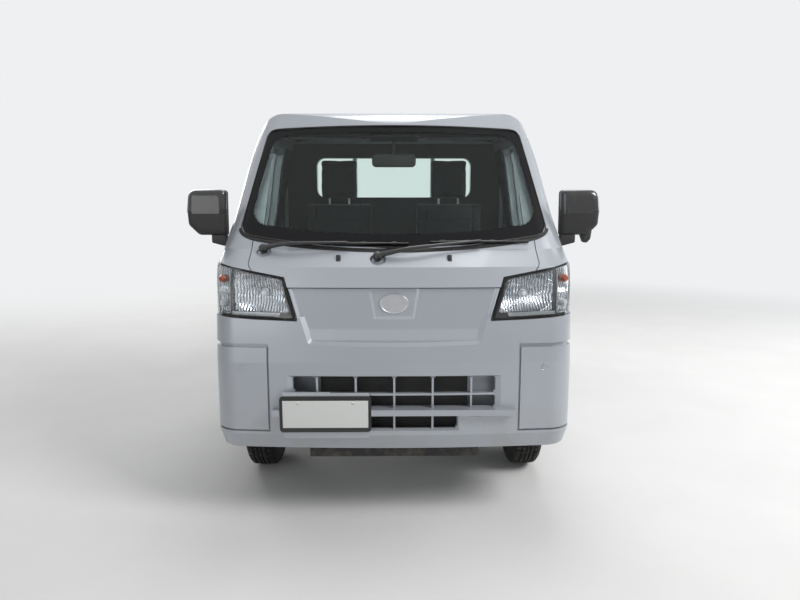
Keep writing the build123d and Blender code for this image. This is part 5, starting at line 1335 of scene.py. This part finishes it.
for side in (1, -1):
    middle = side * SEAT_MIDDLE
    plinths.append(
        block("plinth", at(middle - 0.178, 0.642, 0.6905), at(middle + 0.178, 1.108, 0.742), 0.006)
    )
    for rail in (-0.14, 0.14):
        plinths.append(
            block(
                "slide", at(middle + rail - 0.018, 0.600, 0.6905), at(middle + rail + 0.018, 1.120, 0.716),
                0.003
            )
        )
    outside = side * (SEAT_MIDDLE + 0.200)
    cover = from_outline(
        "recliner",
        [at(outside, d, z) for d, z in RECLINER],
        (-side * 0.010, 0.0, 0.0), 0.004, 2,
    )
    plinths.append(cover)
    for post in (-0.055, 0.055):
        posts.append(
            bent_tube(
                "post", [at(middle + post, 1.150, 1.320), at(middle + post, 1.150, 1.390)], 0.006, 3, 2
            )
        )
dressed(joined("seat_plinths", plinths), grained_black, stands_for=("seats",))
dressed(joined("head_restraint_posts", posts), satin_bright, stands_for=("seats",))


# Linings: thin mats and boards laid on the steel inside the cab, cut from its own inner faces
def lining(node, name, choose, thickness, finish):
    """A sheet laid on the faces of a CAD node that choose(face) accepts."""
    sheet = kept_where(taken_from(node, name), choose)
    shaped(sheet, "SOLIDIFY", thickness=thickness, offset=1.0)
    dressed(sheet, finish)


headliner_felt = Finish("grey_headliner", Roughness=0.95, Specular_IOR_Level=0.2)
felt = headliner_felt.noise(600.0, 4.0)
headliner_felt.set(
    Base_Color=headliner_felt.blend(felt, (0.060, 0.062, 0.064), (0.095, 0.097, 0.100)),
    Normal=headliner_felt.bump(felt, 0.0008, 0.5),
)
floor_rubber = Finish("ribbed_floor_mat", Specular_IOR_Level=0.35)
rib = (floor_rubber.axis("X") * 420.0).wave() * 0.5 + 0.5
mud = floor_rubber.noise(9.0, 6.0, 0.65).step(0.5, 0.75)
floor_rubber.set(
    Base_Color=floor_rubber.blend(mud, (0.016, 0.016, 0.016), (0.10, 0.088, 0.070)),
    Roughness=0.6 + mud * 0.3,
    Normal=floor_rubber.bump(rib, 0.0010, 0.6),
)
lining(
    "roof", "headliner", lambda face: face.normal.z < -0.35 and abs(face.center.x) < 0.56, 0.004,
    headliner_felt
)
lining(
    "cab_back", "back_wall_board",
    lambda face: face.normal.y < -0.9 and face.center.y < FRONT + 1.28 and face.center.z > 0.695,
    0.004, headliner_felt,
)
lining(
    "body_sides", "pillar_trims",
    lambda face: (
        face.normal.x * face.center.x < -0.55 * abs(face.center.x)
        and abs(face.center.x) < 0.684 and face.center.z > 0.70
    ),
    0.0025, grained_black,
)
lining(
    "cab_floor", "floor_mat",
    lambda face: (
        face.normal.z > 0.9 and face.center.z < 0.70 and abs(face.center.x) < 0.68
        and FRONT + 0.145 < face.center.y < FRONT + 1.27
    ),
    0.003, floor_rubber,
)

# Door trims: a moulded board on each door with an arm rest, a window crank and an inner release
DOOR_INSIDE = 0.6824
TRIM_LINE = (
    # distance behind the front, height, corner radius
    (0.285, 0.690, 0.03), (0.285, 1.088, 0.03), (1.060, 1.088, 0.02), (1.060, 0.700, 0.03),
    (0.700, 0.690, 0.02),
)
trim_points = [at(DOOR_INSIDE, spot.x, spot.y) for spot in rounded(TRIM_LINE, 4)]
door_trim = from_outline("door_trim_left", trim_points, (-0.006, 0.0, 0.0), 0.0018, 2)
rest_line = [
    at(DOOR_INSIDE - 0.006, d, z) for d, z in ((0.62, 0.892), (0.60, 0.930), (0.96, 0.950), (0.975, 0.905))
]
arm_rest = from_outline("arm_rest", rest_line, (-0.034, 0.0, 0.0), 0.010, 3)
crank_arm = bent_tube(
    "crank",
    [at(0.672, 0.545, 0.842), at(0.662, 0.548, 0.842), at(0.658, 0.600, 0.870), at(0.656, 0.640, 0.886)],
    0.007, 3, 3,
)
crank_hub = spun(
    "crank_hub", ((0.0, 0.024), (0.012, 0.022), (0.016, 0.012), (0.016, 0.0)), at(0.677, 0.545, 0.842),
    (-1.0, 0.0, 0.0), 24
)
crank_knob = spun(
    "crank_knob", ((0.0, 0.006), (0.004, 0.011), (0.024, 0.012), (0.028, 0.007), (0.028, 0.0)),
    at(0.656, 0.640, 0.886), (-1.0, 0.0, 0.0), 20
)
release = block("release", at(0.662, 0.420, 0.990), at(0.677, 0.520, 1.022), 0.005, 3)
door_trim = joined("door_trim_left", [door_trim, arm_rest, crank_arm, crank_hub, crank_knob, release])
dressed_pair(door_trim, "door_trim", grained_black, "black_plastic", ("left_door", "right_door"))

# Seat belts: webbing from a loop on each door pillar down behind the seat, with its tongue, and a
# buckle on a stalk between the seats
webbing = Finish("black_webbing", Specular_IOR_Level=0.3)
rows = (webbing.axis("Z") * 2600.0).wave() * 0.5 + 0.5
webbing.set(
    Base_Color=webbing.blend(rows, (0.012, 0.012, 0.013), (0.035, 0.035, 0.037)),
    Roughness=0.70 + rows * 0.1,
    Normal=webbing.bump(rows, 0.0004, 0.6),
)
BELT_RUN = (
    # x, distance, height
    (0.632, 1.176, 1.420), (0.630, 1.184, 1.250), (0.634, 1.196, 1.000), (0.640, 1.206, 0.800),
    (0.642, 1.210, 0.712),
)
for side, name in ((1, "left"), (-1, "right")):
    edge_points = []
    for x, distance, height in BELT_RUN:
        edge_points.append((side * x, FRONT + distance - 0.022, height))
        edge_points.append((side * x, FRONT + distance + 0.022, height))
    strap = from_points(
        f"belt_webbing_{name}", edge_points, [],
        [(2 * n, 2 * n + 1, 2 * n + 3, 2 * n + 2) for n in range(len(BELT_RUN) - 1)],
    )
    shaped(strap, "SUBSURF", levels=2, render_levels=2)
    shaped(strap, "SOLIDIFY", thickness=0.0012, offset=0.0)
    outward(strap)
    dressed(strap, webbing)
    loop = block(
        "belt_loop", at(side * 0.634 - 0.006, 1.146, 1.412), at(side * 0.634 + 0.006, 1.206, 1.444), 0.005,
        3
    )
    reel = block(
        "reel_cover", at(side * 0.642 - 0.018, 1.178, 0.695), at(side * 0.642 + 0.018, 1.242, 0.752), 0.006,
        3
    )
    tongue = block(
        "tongue", at(side * 0.632 - 0.003, 1.158, 1.110), at(side * 0.632 + 0.003, 1.214, 1.150), 0.002
    )
    stalk = bent_tube(
        "buckle_stalk",
        [at(side * 0.084, 1.02, 0.700), at(side * 0.086, 1.01, 0.80), at(side * 0.088, 1.00, 0.842)], 0.008,
        2
    )
    buckle = block(
        "buckle", at(side * 0.088 - 0.013, 0.970, 0.838), at(side * 0.088 + 0.013, 1.022, 0.896), 0.005, 3
    )
    dressed(
        joined(f"belt_fittings_{name}", [loop, reel, tongue, stalk, buckle]), grained_black
    )

# Dashboard: grained moulding with an instrument hood, four air vents, a blank audio unit with its
# heater knobs, and a glove box lid
grained_black.on("dashboard")
dash_parts = []
hood_rings = []
for distance, half_width, top in (
    (0.330, 0.120, 1.140), (0.360, 0.150, 1.158), (0.430, 0.155, 1.160), (0.446, 0.150, 1.150)
):
    ring = []
    for step in range(13):
        angle = math.pi * step / 12
        ring.append(
            (
                -0.320 + half_width * math.cos(angle), FRONT + distance,
                1.090 + (top - 1.090) * max(0.0, math.sin(angle)) ** 0.6
            )
        )
    hood_rings.append(ring)
dash_parts.append(stacked("instrument_hood", hood_rings))
for x in (-0.560, -0.110, 0.110, 0.560):
    dash_parts.append(
        block("vent_frame", at(x - 0.052, 0.418, 1.050), at(x + 0.052, 0.462, 1.098), 0.008, 3)
    )
    for slat in range(4):
        dash_parts.append(
            block(
                "slat", at(x - 0.044, 0.458, 1.056 + slat * 0.0098),
                at(x + 0.044, 0.469, 1.0595 + slat * 0.0098), 0.001, 1
            )
        )
dash_parts.append(block("audio_unit", at(-0.090, 0.455, 0.975), at(0.090, 0.478, 1.030), 0.004, 3))
dash_parts.append(block("heater_panel", at(-0.090, 0.448, 0.905), at(0.090, 0.472, 0.965), 0.004, 3))
dash_parts.append(block("glove_lid", at(0.180, 0.440, 0.880), at(0.560, 0.470, 1.020), 0.008, 3))
for x in (-0.055, 0.0, 0.055):
    dash_parts.append(
        spun(
            "heater_knob", ((0.0, 0.016), (0.014, 0.0145), (0.017, 0.011), (0.017, 0.0)),
            at(x, 0.471, 0.935), (0.0, 1.0, 0.0), 20
        )
    )
dressed(joined("dashboard_fittings", dash_parts), grained_black)

# Steering wheel: a grained rim on three spokes with a soft centre pad, and its column stalks
WHEEL_CENTRE = Vector(at(-0.320, 0.575, 1.035))
COLUMN_RISE = math.radians(50.0)
WHEEL_AXIS = Vector((0.0, math.cos(COLUMN_RISE), math.sin(COLUMN_RISE)))
WHEEL_SIDE = Vector((1.0, 0.0, 0.0))
WHEEL_UP = WHEEL_AXIS.cross(WHEEL_SIDE)
RIM_RADIUS = 0.168
GRIP = 0.0145
rim_profile = [
    (GRIP * math.sin(math.tau * k / 12), RIM_RADIUS + GRIP * math.cos(math.tau * k / 12)) for k in range(13)
]
wheel_rim = spun("rim", rim_profile, WHEEL_CENTRE, WHEEL_AXIS, 64)
centre_pad = spun(
    "pad", ((-0.028, 0.0), (-0.028, 0.040), (-0.012, 0.062), (0.004, 0.066), (0.012, 0.058), (0.016, 0.0)),
    WHEEL_CENTRE, WHEEL_AXIS, 40
)
wheel_parts = [wheel_rim, centre_pad]
for angle in (195.0, 345.0, 270.0):
    out = WHEEL_SIDE * math.cos(math.radians(angle)) + WHEEL_UP * math.sin(math.radians(angle))
    start = WHEEL_CENTRE + out * 0.045 - WHEEL_AXIS * 0.006
    end = WHEEL_CENTRE + out * (RIM_RADIUS - 0.004)
    wheel_parts.append(
        bent_tube(
            "spoke", [start, start.lerp(end, 0.5) - WHEEL_AXIS * 0.006, end], 0.012, 3, 3, (1.4, 1.0, 0.8)
        )
    )
dressed(
    joined("steering_wheel_rim", wheel_parts), grained_black, "handwheel",
    stands_for=("steering_wheel",)
)
stalks = []
for side in (1, -1):
    root = WHEEL_CENTRE - WHEEL_AXIS * 0.070 + WHEEL_SIDE * side * 0.034
    tip = root + WHEEL_SIDE * side * 0.120 + WHEEL_AXIS * 0.010
    stalks.append(bent_tube("stalk", [root, root.lerp(tip, 0.5), tip], 0.0065, 3, 3, (0.9, 0.9, 1.3)))
dressed(joined("column_stalks", stalks), grained_black)

# Header: sun visors, the inside mirror on its stem and a camera housing behind the glass
visors = []
for low, high in ((-0.500, -0.150), (0.150, 0.500)):
    visor = from_outline(
        "visor",
        [at(low, 0.600, 1.626), at(low, 0.606, 1.638), at(low, 0.690, 1.655), at(low, 0.692, 1.640)],
        (high - low, 0.0, 0.0), 0.005, 3,
    )
    visors.append(visor)
header = block("header", at(-0.540, 0.668, 1.642), at(0.540, 0.690, 1.700), 0.006, 3)
dressed(
    joined("sun_visors", visors + [header]), headliner_felt, stands_for=("cabin_fittings",)
)
mirror_line = rounded(
    [(-0.100, 1.494, 0.018), (0.100, 1.494, 0.018), (0.100, 1.552, 0.018), (-0.100, 1.552, 0.018)], 4
)
mirror_stack = [
    [((spot.x) * share, FRONT + depth, 1.523 + (spot.y - 1.523) * share) for spot in mirror_line]
    for depth,
    share in ((0.4945, 0.80), (0.4965, 0.93), (0.503, 1.0), (0.5145, 1.0), (0.5155, 0.96), (0.5145, 0.94))
]
inside_mirror = stacked("inside_mirror", mirror_stack)
inside_glass = kept_where(
    moved_copy(inside_mirror, "inside_mirror_glass", (0.0, 0.0006, 0.0)),
    lambda face: len(face.vertices) > 4 and face.normal.y > 0.9
)
shaped(inside_glass, "SOLIDIFY", thickness=0.0008, offset=0.0)
stem = bent_tube("stem", [at(0.0, 0.505, 1.545), at(0.0, 0.560, 1.600), at(0.0, 0.650, 1.652)], 0.0065, 3)
camera_case = from_outline(
    "camera_case",
    [
        at(-0.110, 0.575, 1.640), at(-0.110, 0.640, 1.690), at(-0.110, 0.690, 1.690),
        at(-0.110, 0.690, 1.650), at(-0.110, 0.620, 1.618)
    ],
    (0.220, 0.0, 0.0), 0.006, 3,
)
dressed(
    joined("inside_mirror", [inside_mirror, stem, camera_case]), grained_black,
    stands_for=("cabin_fittings",)
)
dressed(inside_glass, mirror_glass)

# Load bed: floor, headboard with its guard frame and three drop gates in the body's silver. The
# floor is scratched to the primer and rust where loads slide.
bed_paint = silver_paint("silver_bed_paint", 0.50, 0.90, 0.30)
bed_paint.on("gate_left", "gate_right", "tailgate", "headboard")
floor_paint = Finish("worn_bed_floor_paint", Metallic=0.3)
scratch_a = floor_paint.noise(38.0, 3.0, 0.7, (1.0, 0.03, 1.0)).step(0.60, 0.66)
scratch_b = floor_paint.noise(30.0, 3.0, 0.7, (0.05, 1.0, 1.0)).step(0.64, 0.70)
inside_walls = floor_paint.axis("X").size().step(0.69, 0.705)
bare = (scratch_a.most(scratch_b) * (1.0 - inside_walls) * floor_paint.axis("Z").step(0.640, 0.648)).least(1.0)
rust = floor_paint.noise(14.0, 6.0, 0.7).step(0.63, 0.72)
bed_silver = floor_paint.blend(floor_paint.noise(3.0, 4.0), SILVER_DARK, SILVER_LIGHT)
scraped = floor_paint.blend(rust, (0.22, 0.21, 0.20), (0.17, 0.065, 0.025))
floor_paint.set(
    Base_Color=floor_paint.blend((bare * 0.75 + rust * 0.25).least(1.0), bed_silver, scraped),
    Roughness=0.42 + bare * 0.25 + rust * 0.2,
    Normal=floor_paint.bump(bare * -0.5 + floor_paint.noise(160.0, 3.0) * 0.2, 0.0004, 0.6),
)
floor_paint.on("bed_floor")

# Gate fittings: a pressed latch lever with its catch at both ends of each side gate, and rope hooks
# of bent rod under the side rails
zinc = Finish("zinc_plated_steel", Metallic=0.95)
spangle = zinc.cells(220.0)
zinc.set(
    Base_Color=zinc.blend(spangle, (0.40, 0.40, 0.39), (0.60, 0.60, 0.58)),
    Roughness=0.30 + spangle * 0.25,
    Normal=zinc.bump(zinc.noise(400.0, 3.0), 0.0001, 0.5),
)
latches = []
for distance in (1.440, 3.320):
    back_plate = block(
        "plate", (0.7262, FRONT + distance - 0.024, 0.872), (0.7300, FRONT + distance + 0.024, 0.926),
        0.0012
    )
    lever = from_outline(
        "lever",
        [(0.7300, FRONT + distance - 0.012, 0.930), (0.7300, FRONT + distance + 0.012, 0.930),
         (0.7300, FRONT + distance + 0.008, 0.842), (0.7300, FRONT + distance - 0.008, 0.842)],
        (0.0055, 0.0, 0.0), 0.002, 2,
    )
    rivet = spun(
        "rivet", ((0.0, 0.006), (0.0016, 0.0055), (0.0026, 0.003), (0.0026, 0.0)),
        at(0.7345, distance, 0.905), (1.0, 0.0, 0.0), 16
    )
    latches += [back_plate, lever, rivet]
latch_set = joined("gate_latches_left", latches)
dressed_pair(latch_set, "gate_latches", zinc, "bare_steel", ("left_gate", "right_gate"))
hooks = []
HOOK_PLACES = (1.560, 2.000, 2.440, 2.880, 3.180)
for distance in HOOK_PLACES:
    y = FRONT + distance
    hooks.append(
        bent_tube(
            "hook",
            [(0.712, y - 0.030, 0.596), (0.727, y - 0.030, 0.594), (0.731, y - 0.030, 0.570), (0.731, y, 0.562),
             (0.731, y + 0.030, 0.570), (0.727, y + 0.030, 0.594), (0.712, y + 0.030, 0.596)],
            0.0042, 2,
        )
    )
hook_set = joined("rope_hooks_left", hooks)
dressed_pair(hook_set, "rope_hooks", zinc, "bare_steel")

# Tail lamps: black housings with a ribbed red lens, an amber one and a clear one, and a lamp over
# the rear plate
LENS_ROWS = (
    # name, inner x, outer x, colour
    ("red", 0.494, 0.575, (0.42, 0.012, 0.010)),
    ("clear", 0.578, 0.618, (0.78, 0.80, 0.80)),
    ("amber", 0.621, 0.686, (0.66, 0.19, 0.015)),
)
housing = block("tail_lamp_housing_left", at(0.4905, 3.3375, 0.4705), at(0.6895, 3.372, 0.5595), 0.004, 3)
inset_face(housing, (0.0, 1.0, 0.0), 0.003, 0.003)
dressed_pair(
    housing, "tail_lamp_housing", grained_black, "black_plastic",
    stands_for=(("tail_lamps",), ("tail_lamps",))
)
for name, inner, outer, colour in LENS_ROWS:
    lens_finish = Finish(f"{name}_tail_lens", Roughness=0.08, Coat_Weight=0.6, Coat_Roughness=0.03)
    prism = lens_finish.cells(260.0, (1.0, 0.2, 1.0))
    lens_finish.set(
        Base_Color=lens_finish.blend(prism, tuple(value * 0.75 for value in colour), colour),
        Normal=lens_finish.bump(prism, 0.0006, 0.6),
    )
    tail_lens = block(f"{name}_lens_left", at(inner, 3.366, 0.4745), at(outer, 3.3815, 0.5555), 0.005, 3)
    dressed_pair(tail_lens, f"{name}_lens", lens_finish, "red_lamp" if name == "red" else "lamp")
plate_lamp = from_outline(
    "plate_lamp",
    [
        at(-0.030, 3.330, 0.566), at(-0.030, 3.330, 0.590), at(-0.030, 3.366, 0.590),
        at(-0.030, 3.372, 0.572)
    ],
    (0.060, 0.0, 0.0), 0.004, 3,
)
dressed(plate_lamp, grained_black)

# Tyres: a light truck's radial with four grooves and cut shoulders, built ring by ring round the
# wheel. Bare sidewalls with a few thin ribs.
TYRE_HALF = (
    # distance from the tyre's middle, radius; from the bead to the middle of the tread
    (0.0500, 0.1610), (0.0560, 0.1635), (0.0640, 0.1740), (0.0655, 0.1760), (0.0650, 0.1775),
    (0.0700, 0.1950),
    (0.0722, 0.2140), (0.0718, 0.2240), (0.0728, 0.2255), (0.0714, 0.2270), (0.0690, 0.2400),
    (0.0635, 0.2520),
    (0.0570, 0.2600), (0.0535, 0.2632), (0.0500, 0.2650), (0.0345, 0.2664), (0.0335, 0.2600),
    (0.0275, 0.2600),
    (0.0265, 0.2670), (0.0125, 0.2676), (0.0115, 0.2610), (0.0060, 0.2610), (0.0050, 0.2678), (0.0, 0.2679),
)
TYRE_INSIDE = ((0.046, 0.168), (0.060, 0.190), (0.064, 0.216), (0.054, 0.246), (0.0, 0.254))
PITCHES = 52
NOTCH = (
    # share of a pitch, how deep the cut is there
    (0.00, 0.0), (0.05, 0.0060), (0.20, 0.0060), (0.25, 0.0), (0.62, 0.0),
)
tyre_rubber = Finish("black_tyre_rubber", Specular_IOR_Level=0.3)
dust = tyre_rubber.noise(26.0, 6.0, 0.65).step(0.42, 0.75)
tyre_rubber.set(
    Base_Color=tyre_rubber.blend(dust, (0.014, 0.014, 0.014), (0.070, 0.064, 0.056)),
    Roughness=0.72 + dust * 0.2,
    Normal=tyre_rubber.bump(tyre_rubber.noise(700.0, 3.0), 0.0002, 0.6),
)
CORNERS = ("front_left", "front_right", "rear_left", "rear_right")
section = [(across, reach) for across, reach in TYRE_HALF]
section += [(-across, reach) for across, reach in reversed(TYRE_HALF[:-1])]
section += [(-across, reach) for across, reach in TYRE_INSIDE]
section += [(across, reach) for across, reach in reversed(TYRE_INSIDE[:-1])]
for corner_name in CORNERS:
    node = "tyre_" + corner_name
    low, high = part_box(node)
    centre = (low + high) / 2
    rings = []
    for pitch in range(PITCHES):
        for share, cut in NOTCH:
            angle = math.tau * (pitch + share) / PITCHES
            ring = []
            for across, reach in section:
                shift = (0.35 if across > 0 else 0.0) * math.tau / PITCHES
                rib = 0.033 < abs(across) < 0.0625 and reach > 0.2515
                drop = cut if rib else (
                    cut * 0.5 if 0.012 < abs(across) < 0.028 and reach > 0.2665 else 0.0
                )
                ring.append(
                    (
                        centre.x + across, centre.y + (reach - drop) * math.cos(angle + shift),
                        centre.z + (reach - drop) * math.sin(angle + shift)
                    )
                )
            rings.append(ring)
    rings.append(rings[0])
    tyre = stacked(node + "_tread", rings, False)
    outward(tyre)
    dressed(tyre, tyre_rubber, corner_name + "_wheel", stands_for=(node,))

# Wheels: pressed steel rims in silver enamel, brown with patches of brake dust, each with a
# rubber valve
rim_enamel = Finish("silver_wheel_enamel", Metallic=0.45)
brake_dust = rim_enamel.noise(60.0, 5.0, 0.6).step(0.40, 0.72)
rim_enamel.set(
    Base_Color=rim_enamel.blend(brake_dust * 0.55, (0.40, 0.41, 0.42), (0.16, 0.125, 0.10)),
    Roughness=0.36 + brake_dust * 0.3,
    Normal=rim_enamel.bump(rim_enamel.noise(300.0, 3.0), 0.00008, 0.5),
)
rim_enamel.on("rim_front_left", "rim_front_right", "rim_rear_left", "rim_rear_right")
for corner_name in CORNERS:
    low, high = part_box("tyre_" + corner_name)
    centre = (low + high) / 2
    body = corner_name + "_wheel"
    outward_x = 1.0 if corner_name.endswith("left") else -1.0
    valve = spun(
        "valve_" + body,
        ((0.0, 0.0055), (0.010, 0.0050), (0.024, 0.0040), (0.030, 0.0048), (0.036, 0.0048), (0.038, 0.0)),
        (centre.x + outward_x * 0.022, centre.y + 0.098, centre.z + 0.098), (outward_x, 0.25, 0.25), 16,
    )
    dressed(valve, rubber_seal, body)

# Underside: ladder frame, axle, springs and tank in black chassis paint, dusty, with spots of rust;
# castings in raw aluminium; the exhaust brown with heat.
chassis_paint = Finish("black_chassis_paint", Metallic=0.1)
grit = chassis_paint.noise(20.0, 7.0, 0.68)
rust_spots = chassis_paint.noise(75.0, 6.0, 0.7).step(0.60, 0.70)
road_film = chassis_paint.blend(grit.step(0.40, 0.75), (0.013, 0.013, 0.014), (0.085, 0.075, 0.062))
chassis_paint.set(
    Base_Color=chassis_paint.blend(rust_spots * 0.7, road_film, (0.14, 0.055, 0.022)),
    Roughness=0.50 + grit * 0.35,
    Normal=chassis_paint.bump(chassis_paint.noise(240.0, 4.0), 0.0004, 0.6),
)
chassis_paint.on(
    "chassis_frame", "rear_axle", "front_suspension", "knuckle_left", "knuckle_right", "fuel_tank"
)
casting = Finish("raw_aluminium_casting", Metallic=0.8)
sand = casting.noise(420.0, 4.0, 0.6)
oil = casting.noise(7.0, 6.0, 0.65).step(0.48, 0.75)
casting.set(
    Base_Color=casting.blend(oil, (0.36, 0.36, 0.355), (0.070, 0.060, 0.048)),
    Roughness=0.46 + sand * 0.25,
    Normal=casting.bump(sand, 0.0006, 0.7),
)
casting.on("engine_and_gearbox")
heated = Finish("heat_browned_steel", Metallic=0.85)
scale_rust = heated.noise(24.0, 7.0, 0.7).step(0.38, 0.68)
heated.set(
    Base_Color=heated.blend(scale_rust, (0.30, 0.27, 0.24), (0.12, 0.052, 0.024)),
    Roughness=0.42 + scale_rust * 0.4,
    Normal=heated.bump(heated.noise(180.0, 5.0), 0.0005, 0.6),
)
heated.on("exhaust")
# Radiator core: partly its own black paint and partly painted shade. Its darkest tone stands in for the shade
# behind the grille's mouths. The fin and tube stripes in its colour are painted light on the fin edges and
# painted shade between them.
core = Finish("black_radiator_core", Metallic=0.2)
fins = (core.axis("X") * 2300.0).wave() * 0.5 + 0.5
tubes = ((core.axis("Z") * 620.0).wave()).step(0.75, 0.95)
core.set(
    Base_Color=core.blend(fins * 0.6 + tubes * 0.4, (0.006, 0.006, 0.006), (0.050, 0.050, 0.050)),
    Roughness=0.6 + fins * 0.2,
    Normal=core.bump(fins + tubes, 0.0010, 0.6),
)
core.on("radiator")

# Mud flaps: sheet rubber hung behind the rear wheels from a pressed strip
for side, name in ((1, "left"), (-1, "right")):
    flap = block(
        f"mud_flap_{name}", at(side * 0.645 - 0.075, 2.914, 0.235), at(side * 0.645 + 0.075, 2.918, 0.560),
        0.0015, 2
    )
    strip = block(
        "strip", at(side * 0.645 - 0.078, 2.911, 0.532), at(side * 0.645 + 0.078, 2.921, 0.574), 0.002
    )
    dressed(joined(f"mud_flap_{name}", [flap, strip]), rubber_seal)

# Door handles: grained black pull bars over their pockets, with a plated key cylinder each
pull = from_outline(
    "door_handle_left",
    [
        at(0.7250, 0.934, 0.951), at(0.7250, 0.934, 0.979), at(0.7250, 1.050, 0.979),
        at(0.7250, 1.050, 0.951)
    ],
    (0.0120, 0.0, 0.0), 0.0055, 4,
)
key = spun(
    "door_lock_left", ((-0.012, 0.0085), (0.0, 0.0085), (0.0012, 0.0075), (0.0004, 0.0060), (0.0004, 0.0)),
    at(0.7362, 1.040, 0.915), (1.0, 0.0, 0.0), 20
)
dressed_pair(pull, "door_handle", grained_black, "black_plastic", ("left_door", "right_door"))
dressed_pair(key, "door_lock", bright_screw, "bare_steel", ("left_door", "right_door"))
